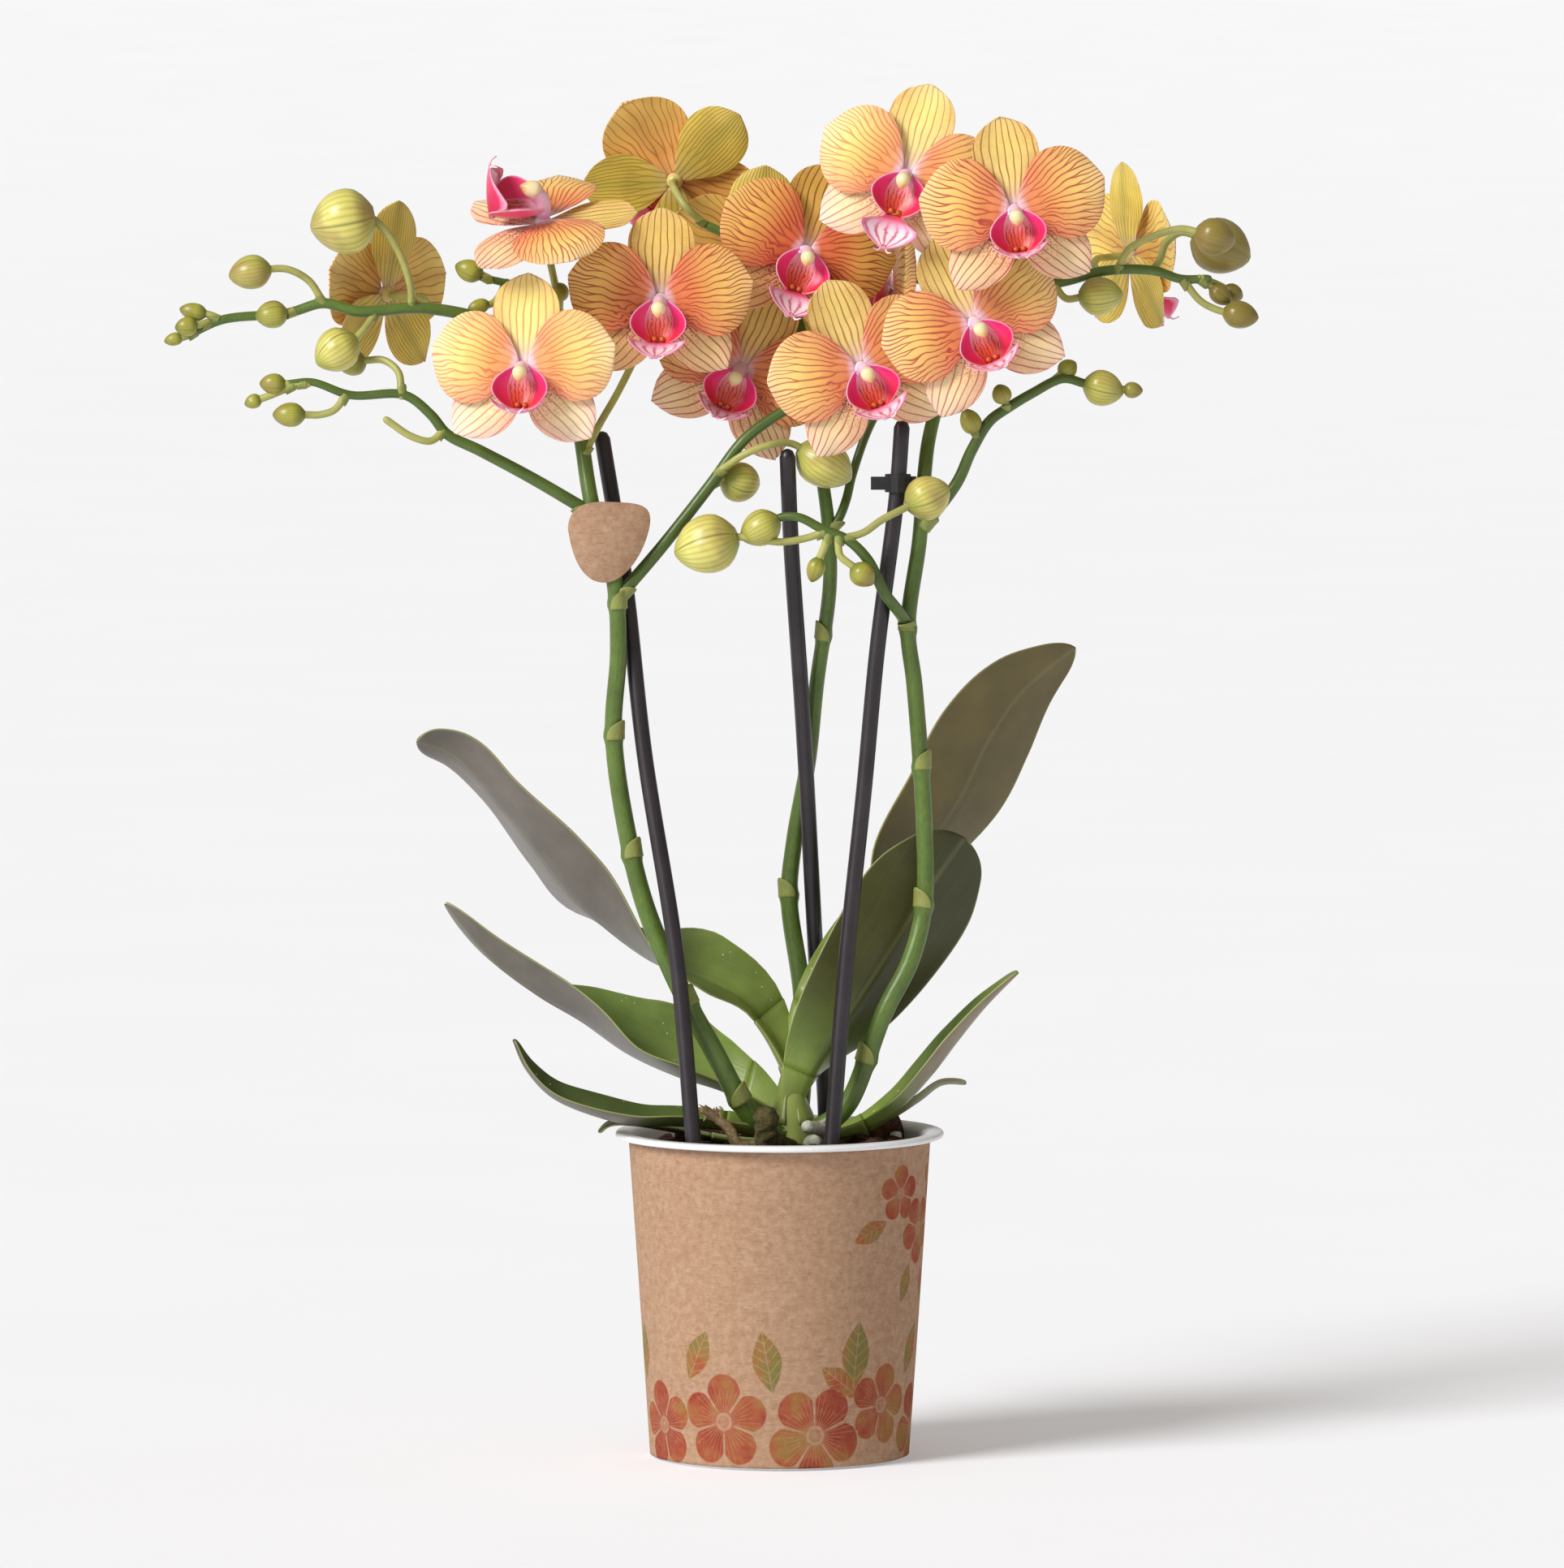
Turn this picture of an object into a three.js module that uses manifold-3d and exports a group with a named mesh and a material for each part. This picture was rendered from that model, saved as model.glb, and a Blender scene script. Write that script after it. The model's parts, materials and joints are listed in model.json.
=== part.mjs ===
// Potted moth orchid: a filled nursery pot, a leaf rosette, three staked flower spikes and
// fourteen open blooms. Millimetres, +Z up, origin at the middle of the pot's underside.
// +X is the right of the plant's front view and -Y is its front.
import * as THREE from "three";
import { mergeVertices } from "three/addons/utils/BufferGeometryUtils.js";
import Module from "manifold-3d";

const wasm = await Module();
wasm.setup();

// Fits
const GAP = 0.3; // between pieces that touch
const UP = new THREE.Vector3(0, 0, 1);
const BACK = new THREE.Vector3(0, 1, 0);

// Pot, sleeve and potting mix
const POT_HEIGHT = 101;
const SLEEVE_BOTTOM_RADIUS = 40;
const SLEEVE_TOP_RADIUS = 46.75;
const SLEEVE_THICKNESS = 0.6;
const SLEEVE_FOOT = 0.8; // the sleeve's lower edge above the ground
const WALL = 1.2;
const RIM_RADIUS = 51;
const RIM_THICKNESS = 2.1;
const FLOOR_THICKNESS = 1.6;
const DRAIN_RADIUS = 3.5;
const DRAIN_CIRCLE = 25;
const DRAINS = 4;
const MIX_TOP = 89;
const MIX_RINGS = 4;
const MIX_SPOKES = 18;
const ROUND_SIDES = 30;

// Plant
const STAKE_RADIUS = 2.5;
const STAKE_SIDES = 6;
const STEM_SIDES = 6;
const BRANCH_SIDES = 5;
const STALK_SIDES = 4;
const THIN_BRANCH = 3; // a stem thinner than this is a branch
const STALK_RADIUS = 1.15;
const LEAF_THICKNESS = 1.3;
const SHEATH_THICKNESS = 3;
const LEAF_REACH = 150; // about how far the long leaves reach

// Blooms: the dorsal sepal points to +Y of the bloom, the lip faces +Z
const PETAL_THICKNESS = 0.7;
const LIP_THICKNESS = 0.8;
const HUB_RADIUS = 2; // from the middle of a bloom to the front and back of its hub
const HUB_WIDTH = 4.9;
const HUB_SIDES = 5;
const HUB_TURN = 0.51; // so that no corner of the hub falls on the edge of a segment
const STALK_STRAIGHT = 8; // the stalk runs square to the bloom for this length

// Geometry helpers

function solidOf(geometry) {
  const bare = geometry.clone();
  bare.deleteAttribute("normal");
  bare.deleteAttribute("uv");
  const merged = mergeVertices(bare, 1e-4);
  return new wasm.Manifold(
    new wasm.Mesh({
      numProp: 3,
      vertProperties: new Float32Array(merged.attributes.position.array),
      triVerts: new Uint32Array(merged.index.array),
    }),
  );
}

function joined(solids) {
  return solids.reduce((sum, solid) => sum.add(solid));
}

// The largest connected body of a solid, so that loose scraps of a cut are dropped.
function mainBody(solid) {
  return solid.decompose().reduce((a, b) => (a.volume() > b.volume() ? a : b));
}

function geometryOf(solid) {
  const mesh = solid.getMesh();
  const geometry = new THREE.BufferGeometry();
  const stride = mesh.numProp;
  const places = new Float32Array((mesh.vertProperties.length / stride) * 3);
  for (let i = 0; i < places.length / 3; i++)
    for (let k = 0; k < 3; k++) places[3 * i + k] = mesh.vertProperties[stride * i + k];
  geometry.setAttribute("position", new THREE.BufferAttribute(places, 3));
  geometry.setIndex(Array.from(mesh.triVerts));
  const faceted = geometry.toNonIndexed();
  faceted.computeVertexNormals();
  return faceted;
}

function indexed(points, triangles) {
  const geometry = new THREE.BufferGeometry();
  geometry.setFromPoints(points);
  geometry.setIndex(triangles.flat());
  return geometry;
}

// A closed thin blade. place(u, v) is its middle surface, u along it from 0 to 1 and
// v across it from -1 to 1. Both faces are split along the same diagonals.
function blade(place, thickness, along, across) {
  const step = 1e-3;
  const points = [];
  for (const side of [0.5, -0.5])
    for (let i = 0; i <= along; i++)
      for (let j = 0; j <= across; j++) {
        const u = i / along;
        const v = (2 * j) / across - 1;
        const du = place(u + step, v).sub(place(u - step, v));
        const dv = place(u, v + step).sub(place(u, v - step));
        const normal = du.cross(dv).normalize();
        points.push(place(u, v).addScaledVector(normal, side * thickness));
      }
  const row = across + 1;
  const under = (along + 1) * row;
  const triangles = [];
  const quad = (a, b, c, d) => triangles.push([a, b, c], [a, c, d]);
  for (let i = 0; i < along; i++)
    for (let j = 0; j < across; j++) {
      const a = i * row + j;
      quad(a, a + row, a + row + 1, a + 1);
      triangles.push([under + a, under + a + row + 1, under + a + row]);
      triangles.push([under + a, under + a + 1, under + a + row + 1]);
    }
  for (let i = 0; i < along; i++) {
    const a = i * row;
    const b = a + across;
    quad(a, under + a, under + a + row, a + row);
    quad(b + row, under + b + row, under + b, b);
  }
  for (let j = 0; j < across; j++) {
    const a = j;
    const b = along * row + j;
    quad(a + 1, under + a + 1, under + a, a);
    quad(b, under + b, under + b + 1, b + 1);
  }
  return solidOf(indexed(points, triangles));
}

// A closed round bar with one ring of corners at each point of its path, radius(u) thick.
function bar(path, radius, sides) {
  const curve = new THREE.CatmullRomCurve3(path.map((p) => new THREE.Vector3(...p)));
  const steps = path.length - 1;
  const heading = new THREE.Quaternion().setFromUnitVectors(UP, curve.getTangent(0));
  const points = [];
  let before = curve.getTangent(0);
  for (let i = 0; i <= steps; i++) {
    const ahead = curve.getTangent(i / steps);
    heading.premultiply(new THREE.Quaternion().setFromUnitVectors(before, ahead));
    before = ahead;
    for (let k = 0; k < sides; k++) {
      const angle = (2 * Math.PI * k) / sides;
      const corner = new THREE.Vector3(Math.cos(angle), Math.sin(angle), 0);
      corner.applyQuaternion(heading).multiplyScalar(radius(i / steps));
      points.push(corner.add(curve.getPoint(i / steps)));
    }
  }
  return ringSkin(points, sides, steps);
}

// The closed skin over steps + 1 rings of points, with a flat fan on each end.
function ringSkin(points, sides, steps) {
  const triangles = [];
  for (let i = 0; i < steps; i++)
    for (let k = 0; k < sides; k++) {
      const a = i * sides + k;
      const b = i * sides + ((k + 1) % sides);
      triangles.push([a, b, b + sides], [a, b + sides, a + sides]);
    }
  const last = steps * sides;
  for (let k = 1; k < sides - 1; k++)
    triangles.push([0, k + 1, k], [last, last + k, last + k + 1]);
  return solidOf(indexed(points, triangles));
}

const taper = (from, to) => (u) => from + (to - from) * u;

// A flower bud: an egg on the end of its stalk, blunt where it joins and pointed at its tip.
const BUD_PROFILE = [[0.0, 0.42], [0.3, 0.98], [0.68, 0.88], [1.0, 0.18]];
const WIDE_BUD = 12;
const NARROW_BUD = 7;
const BUD_TURN = 0.4; // so that no corner of a bud falls on a corner of its stalk
function bud(stalkEnd, [x, y, z, length, width]) {
  const middle = new THREE.Vector3(x, y, z);
  const sides = 5 + (width > WIDE_BUD) - (width < NARROW_BUD);
  const axis = middle.clone().sub(new THREE.Vector3(...stalkEnd)).normalize();
  const turn = new THREE.Quaternion().setFromUnitVectors(UP, axis);
  const points = [];
  for (const [part, wide] of BUD_PROFILE)
    for (let k = 0; k < sides; k++) {
      const angle = (2 * Math.PI * k) / sides + BUD_TURN;
      const radius = (wide * width) / 2;
      const place = new THREE.Vector3(Math.cos(angle) * radius, Math.sin(angle) * radius,
        (part - 0.5) * length);
      points.push(place.applyQuaternion(turn).add(middle));
    }
  return ringSkin(points, sides, BUD_PROFILE.length - 1);
}

// A closed solid of revolution about Z through [radius, height] points.
function turned(profile, sides) {
  const lathe = new THREE.LatheGeometry(profile.map(([r, z]) => new THREE.Vector2(r, z)), sides);
  lathe.rotateX(Math.PI / 2);
  const solid = solidOf(lathe);
  return solid.volume() < 0 ? solidOf(flipped(lathe)) : solid;
}

function flipped(geometry) {
  const index = geometry.index.array;
  for (let i = 0; i < index.length; i += 3) [index[i], index[i + 1]] = [index[i + 1], index[i]];
  return geometry;
}

// Pot

const sleeveRadius = (z) =>
  SLEEVE_BOTTOM_RADIUS + ((SLEEVE_TOP_RADIUS - SLEEVE_BOTTOM_RADIUS) * z) / POT_HEIGHT;
const potRadius = (z) => sleeveRadius(z) - SLEEVE_THICKNESS - GAP;
const rimUnder = POT_HEIGHT - RIM_THICKNESS;

function pot() {
  const body = turned(
    [
      [0, 0], [potRadius(0) - 0.8, 0], [potRadius(1), 1], [potRadius(rimUnder), rimUnder],
      [RIM_RADIUS, rimUnder + 0.4], [RIM_RADIUS - 0.3, POT_HEIGHT - 0.3],
      [potRadius(rimUnder) + 0.8, POT_HEIGHT], [potRadius(rimUnder) - WALL, rimUnder - 0.6],
      [potRadius(FLOOR_THICKNESS) - WALL, FLOOR_THICKNESS], [0, FLOOR_THICKNESS],
    ],
    ROUND_SIDES,
  );
  const drains = [];
  for (let i = 0; i < DRAINS; i++) {
    const drill = new THREE.CylinderGeometry(DRAIN_RADIUS, DRAIN_RADIUS, 4 * FLOOR_THICKNESS, 6);
    drill.rotateX(Math.PI / 2);
    const angle = (2 * Math.PI * (i + 0.5)) / DRAINS;
    drill.translate(DRAIN_CIRCLE * Math.cos(angle), DRAIN_CIRCLE * Math.sin(angle), 0);
    drains.push(solidOf(drill));
  }
  return body.subtract(joined(drains));
}

function potSleeve() {
  const top = rimUnder - GAP;
  return turned(
    [
      [sleeveRadius(SLEEVE_FOOT) - SLEEVE_THICKNESS, SLEEVE_FOOT],
      [sleeveRadius(SLEEVE_FOOT), SLEEVE_FOOT], [sleeveRadius(top), top],
      [sleeveRadius(top) - SLEEVE_THICKNESS, top],
      [sleeveRadius(SLEEVE_FOOT) - SLEEVE_THICKNESS, SLEEVE_FOOT],
    ],
    ROUND_SIDES,
  );
}

// The mix fills the pot and has a lumpy top; one bark chunk stands up at the right of the rim.
const CHUNK = { at: [31, 21, 96], size: [7, 5, 9.5], turn: 0.5 };
function barkMix(room) {
  const foot = FLOOR_THICKNESS + GAP;
  const inner = (z) => potRadius(z) - WALL - GAP;
  const points = [];
  for (let k = 0; k < MIX_SPOKES; k++) {
    const angle = (2 * Math.PI * k) / MIX_SPOKES;
    points.push(new THREE.Vector3(inner(foot) * Math.cos(angle), inner(foot) * Math.sin(angle), foot));
  }
  for (let ring = 0; ring < MIX_RINGS; ring++)
    for (let k = 0; k < MIX_SPOKES; k++) {
      const angle = (2 * Math.PI * (k + 0.5 * ring)) / MIX_SPOKES;
      const part = 1 - ring / MIX_RINGS;
      const lump = 1.1 * Math.sin(5 * angle + 2.1 * ring) + 0.7 * Math.sin(9 * angle - ring);
      const z = MIX_TOP + (ring ? lump + 1.5 * (1 - part) : -1);
      const radius = inner(MIX_TOP - 2) * part;
      points.push(new THREE.Vector3(radius * Math.cos(angle), radius * Math.sin(angle), z));
    }
  const body = ringSkin(points, MIX_SPOKES, MIX_RINGS);
  const chunk = new THREE.IcosahedronGeometry(1, 0);
  chunk.scale(...CHUNK.size);
  chunk.rotateZ(CHUNK.turn);
  chunk.translate(...CHUNK.at);
  return mainBody(body.add(solidOf(chunk)).subtract(room));
}

// Stakes: points from the lower end in the mix to the top

const STAKES = {
  left: [[-17, -31, 25], [-25.5, -29, 91.5], [-31.5, -20, 155.5], [-41.5, -9, 218],
    [-47.5, -0.5, 270.5], [-54.6, 7, 314]],
  middle: [[14, 31, 25], [14.5, 33, 97], [11.5, 28, 148.5], [7.5, 14, 222.5], [3.5, 1.5, 283],
    [2.4, -3.2, 309]],
  right: [[11, -21, 25], [15.5, -17, 90.5], [20.5, -13, 155], [26, -10, 207.5], [30, -8, 250],
    [36, -6, 297.5], [37.5, -6, 318]],
};

function stake(path, grow = 0) {
  return bar(path, () => STAKE_RADIUS + grow, STAKE_SIDES);
}

// Leaves: stations along the midrib as [x, y, z, half width, turn, fold]. A turn of 0 shows the
// upper face to the front, 90 is level, and more shows the underside; fold lifts both halves.

const LEAVES = [
  { sheath: 0.1, cells: [8, 4], stations: [[2, 3, 118, 6, 60, 40], [-9, 10, 138, 12, 55, 30],
    [-23, 18, 146, 18, 62, 24], [-40.5, 23, 152, 21, 84, 18], [-61, 25, 168, 23, 114, 14],
    [-74, 26, 184, 22, 116, 12], [-89, 26, 202.5, 17, 114, 10], [-100.5, 24, 215, 11, 128, 12],
    [-112, 21, 220, 5, 140, 8]] },
  { sheath: 0.15, cells: [8, 4], stations: [[1, 0, 104, 6, 62, 45], [-9, 4, 109, 12, 62, 42],
    [-19, 8, 113, 17, 64, 40], [-32, 10, 117, 23, 66, 38], [-47, 10, 124, 22, 68, 36],
    [-61, 9, 134, 17, 85, 34], [-75, 8, 142.5, 13, 106, 30], [-89, 7, 153.5, 10, 118, 22],
    [-103, 6, 170.5, 3, 122, 10]] },
  { sheath: 0.16, cells: [7, 2], stations: [[1.5, -2, 99, 5, 80, 40], [-15, -10, 102, 7, 80, 38],
    [-31, -15, 104, 8, 80, 36], [-44, -17, 104.5, 8.5, 79, 34], [-57, -18, 107.5, 8.5, 78, 32],
    [-69.5, -18, 113, 7, 78, 30], [-77.5, -18, 121.5, 4.5, 78, 25], [-81.5, -18, 130.5, 1.5, 80, 20]] },
  { sheath: 0.12, cells: [8, 4], stations: [[4, 4, 118, 5, 60, 40], [12, 10, 142, 8, 60, 30],
    [25.5, 20, 162.5, 11.5, 75, 22], [40.5, 29, 179.5, 18, 125, 16], [55.5, 35, 200.5, 19, 145, 12],
    [65, 37, 219.5, 18, 150, 10], [76, 38, 235, 13.5, 148, 10], [91.5, 37, 248, 4, 142, 5]] },
  { sheath: 0.14, cells: [7, 4], stations: [[5, -1, 106, 6, 110, 40], [12.5, -2, 123, 12, 142, 30],
    [22, 0, 138, 16.5, 157, 20], [35, 4, 158, 19, 163, 14], [46, 8, 175, 18, 166, 12],
    [57, 10, 190.5, 9, 166, 8]] },
  { sheath: 0.2, cells: [7, 2], stations: [[8, 0, 97, 4, 84, 40], [24, 4, 100, 6, 84, 36],
    [37, 5, 107.5, 8, 83, 36], [47, 6, 118, 8.5, 82, 36], [55, 6, 128.5, 8, 82, 34],
    [63.5, 6, 139, 6, 82, 30], [73.5, 4, 149.5, 2, 84, 20]] },
  { sheath: 0.3, cells: [5, 2], stations: [[5, 4, 96, 3, 90, 30], [20, 12, 96, 4, 90, 30],
    [34, 14, 103, 4.5, 92, 25], [43, 16, 108.5, 5, 95, 20], [50, 17, 113.5, 5, 100, 10],
    [57.5, 17, 114, 3, 110, 5]] },
  { sheath: 0.25, cells: [5, 2], stations: [[-1, 3, 96, 3, 90, 20], [-17, 4, 97, 4, 90, 20],
    [-34, -1, 101, 5, 88, 15], [-46, -6, 103.4, 4.5, 86, 10], [-52.5, -8, 103.4, 3, 84, 5],
    [-55.5, -8.5, 101.3, 1.5, 84, 0]] },
];

// The value of a smooth curve through a column of the stations at u from 0 to 1.
function along(stations, column, u) {
  const spans = stations.length - 1;
  const place = Math.min(Math.max(u, 0), 1) * spans;
  const i = Math.min(Math.floor(place), spans - 1);
  const t = place - i;
  const at = (k) => stations[Math.min(Math.max(k, 0), spans)][column];
  const [a, b, c, d] = [at(i - 1), at(i), at(i + 1), at(i + 2)];
  return b + 0.5 * t * (c - a + t * (2 * a - 5 * b + 4 * c - d + t * (3 * (b - c) + d - a)));
}

function leafPlace(stations) {
  const rib = (u) => new THREE.Vector3(...[0, 1, 2].map((k) => along(stations, k, u)));
  return (u, v) => {
    const middle = rib(u);
    const ahead = rib(Math.min(u + 0.01, 1)).sub(rib(Math.max(Math.min(u, 0.999) - 0.01, 0)));
    ahead.normalize();
    const lift = new THREE.Vector3().crossVectors(BACK, ahead).normalize();
    if (lift.z < 0) lift.negate();
    const width = along(stations, 3, u);
    const turn = THREE.MathUtils.degToRad(along(stations, 4, u));
    const fold = THREE.MathUtils.degToRad(along(stations, 5, u));
    const side = lift.multiplyScalar(Math.cos(turn)).addScaledVector(BACK, Math.sin(turn));
    const face = new THREE.Vector3().crossVectors(side, ahead).normalize();
    if (ahead.x > 0) face.negate();
    const reach = Math.sqrt(v * v + 0.01) - 0.1;
    middle.addScaledVector(side, v * width * Math.cos(fold));
    return middle.addScaledVector(face, reach * width * Math.sin(fold));
  };
}

// The stem with one clasping sheath for each leaf, and three roots above the mix.
const CROWN_PATH = [[4, 0, 62], [4, 0, 90], [3.5, 0, 106], [3, 1, 119]];
const ROOTS = [
  { path: [[3, -3, 95], [-6, -10, 96.5], [-13, -16, 98.5], [-16, -18, 103.5], [-23, -20, 109]],
    radius: [2.4, 1.5] },
  { path: [[4, -4, 95], [0, -12, 97], [-4, -19, 100], [-4, -22, 108]], radius: [3, 2.6] },
  { path: [[5, -2, 96], [12, -6, 98.5], [13.5, -9, 101.5], [8.5, -16, 103.5]], radius: [2.6, 2.2] },
];
function crown(grow = 0) {
  const stem = bar(CROWN_PATH, (u) => 7.5 - 4 * u * u + grow, 8);
  const sheaths = LEAVES.map(({ stations, sheath }) => {
    const place = leafPlace(stations);
    const longer = sheath + grow / LEAF_REACH;
    const wider = 1 + grow / 3;
    return blade((u, v) => place(u * longer, v * wider), SHEATH_THICKNESS + 3 * grow, 2, 2);
  });
  const roots = ROOTS.map(({ path, radius }) =>
    bar(path, taper(radius[0] + grow, radius[1] + grow), 5));
  return joined([stem, ...sheaths, ...roots]);
}

function leaf({ stations, cells }, room) {
  return mainBody(blade(leafPlace(stations), LEAF_THICKNESS, ...cells).subtract(room));
}

// Blooms: middle, direction faced as [degrees to the right of the front, degrees up], and how
// far the dorsal sepal leans to the right in the front view

const BLOOMS = [
  { at: [-78, -20, 336.5], face: [-8, 3], lean: 0 },
  { at: [-36.5, -10, 357], face: [-3, -5], lean: 2 },
  { at: [-72.3, -8.5, 381], face: [-15, 62], lean: 0 },
  { at: [-32.5, 33, 393], face: [176, 6], lean: 42 },
  { at: [-122, 31, 358], face: [-127, 6], lean: 6 },
  { at: [7.5, 0, 371.5], face: [10, 0], lean: 19 },
  { at: [38.5, -16, 395], face: [-3, 3], lean: 16 },
  { at: [71.5, -29, 384.5], face: [2, 0], lean: -7 },
  { at: [59.5, -19, 350], face: [8, 0], lean: -25 },
  { at: [25, -10, 336], face: [10, 0], lean: -22 },
  { at: [-12, 8, 335], face: [-6, -4], lean: 24 },
  { at: [108.5, 38, 370], face: [118, 5], lean: 7 },
  { at: [-7.5, 25, 369], face: [172, 0], lean: 5 },
  { at: [36, 28, 362], face: [-78, 0], lean: 10 },
];

function bloomFrame({ at, face, lean }) {
  const [right, up] = face.map(THREE.MathUtils.degToRad);
  const tilt = THREE.MathUtils.degToRad(lean);
  const ahead = new THREE.Vector3(
    Math.sin(right) * Math.cos(up), -Math.cos(right) * Math.cos(up), Math.sin(up));
  const top = new THREE.Vector3(Math.sin(tilt), 0, Math.cos(tilt));
  top.addScaledVector(ahead, -top.dot(ahead)).normalize();
  const side = new THREE.Vector3().crossVectors(top, ahead);
  return new THREE.Matrix4().makeBasis(side, top, ahead).setPosition(...at);
}

// The five segments: the way each points, its length and width, and where its base lies
const PETAL = { length: 27.8, width: 29, middle: 0.57, round: 0.57, power: 0.6, claw: 0.09,
  droop: 0.16, level: 1.1, belly: 1.6, cup: -1.8 };
const DORSAL = { length: 27.6, width: 21, middle: 0.58, round: 0.58, power: 0.5, claw: 0.12,
  droop: 0.13, level: -0.4, belly: -0.6, cup: 1.4 };
const LATERAL = { length: 28.3, width: 19.5, middle: 0.54, round: 0.54, power: 0.55, claw: 0.13,
  droop: 0.16, level: -0.3, belly: 0.4, cup: -1.2 };
const ROOT_RADIUS = 1.9; // where a segment begins inside the hub
const SEGMENTS = [
  { ...DORSAL, way: 90 },
  { ...LATERAL, way: -44 },
  { ...LATERAL, way: -136 },
  { ...PETAL, way: 14 },
  { ...PETAL, way: 166 },
];

function segmentPlace(shape) {
  const turn = THREE.MathUtils.degToRad(shape.way - 90);
  return (u, v) => {
    const bulge = Math.max(1 - ((u - shape.middle) / shape.round) ** 2, 0) ** shape.power;
    const wide = Math.max(bulge, shape.claw);
    const out = ROOT_RADIUS + shape.length * (u - shape.droop * v * v * u * u);
    const across = (v * wide * shape.width) / 2;
    const height = shape.level + shape.belly * Math.sin(Math.PI * u) + shape.cup * v * v * wide * u
      - 0.9 * u * u;
    return new THREE.Vector3(
      across * Math.cos(turn) - out * Math.sin(turn),
      across * Math.sin(turn) + out * Math.cos(turn),
      height,
    );
  };
}

function bloomPetals() {
  const hub = new THREE.CylinderGeometry(HUB_WIDTH / 2, HUB_WIDTH / 2, 2 * HUB_RADIUS, HUB_SIDES);
  hub.rotateX(Math.PI / 2);
  hub.rotateZ(HUB_TURN);
  const segments = SEGMENTS.map((shape) => {
    const rows = shape.width > PETAL.width - 1 ? 5 : 3;
    return blade(segmentPlace(shape), PETAL_THICKNESS, rows, 2);
  });
  return joined([solidOf(hub), ...segments]);
}

// The lip: two spreading side lobes and a pointed middle lobe, below the short column
const COLUMN_PATH = [[0, 0, HUB_RADIUS + GAP], [0, -0.4, 4.8], [0, -1.4, 8.6]];

// A side lobe is a rounded ear that spreads from the column's foot to the side and forward.
function sideLobePlace(side) {
  return (u, v) => {
    const high = 0.7 + 4.3 * Math.max(1 - ((u - 0.58) / 0.5) ** 2, 0) ** 0.5;
    return new THREE.Vector3(
      side * (0.7 + 7.6 * u), -0.8 - 5.6 * Math.sin(2 * u) + v * high,
      4.9 + 4.2 * u - 0.9 * v * v);
  };
}

// The middle lobe hangs below the side lobes, juts forward and ends in a narrow tip.
function middleLobePlace(u, v) {
  const wide = 0.8 + 3.4 * Math.max(Math.sin(Math.PI * (1.5 * u - 0.42)), 0);
  return new THREE.Vector3(
    v * wide, -0.6 - 15.4 * u, 3.8 + 5.7 * Math.sin(2.1 * u) + 0.9 * v * v * u);
}

function bloomLip() {
  const column = bar(COLUMN_PATH, (u) => 2.2 + 0.8 * Math.sin(2.6 * u), 4);
  const lobes = [1, -1].map((side) => {
    const place = sideLobePlace(side);
    return blade((u, v) => place(u, side * v), LIP_THICKNESS, 2, 2);
  });
  return joined([column, ...lobes, blade(middleLobePlace, LIP_THICKNESS, 3, 2)]);
}

// Spikes: each stem, branch and stalk is a path with its radii; a stalk ends in a bud, given as
// [x, y, z, length, width], or behind the bloom of that number

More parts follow.
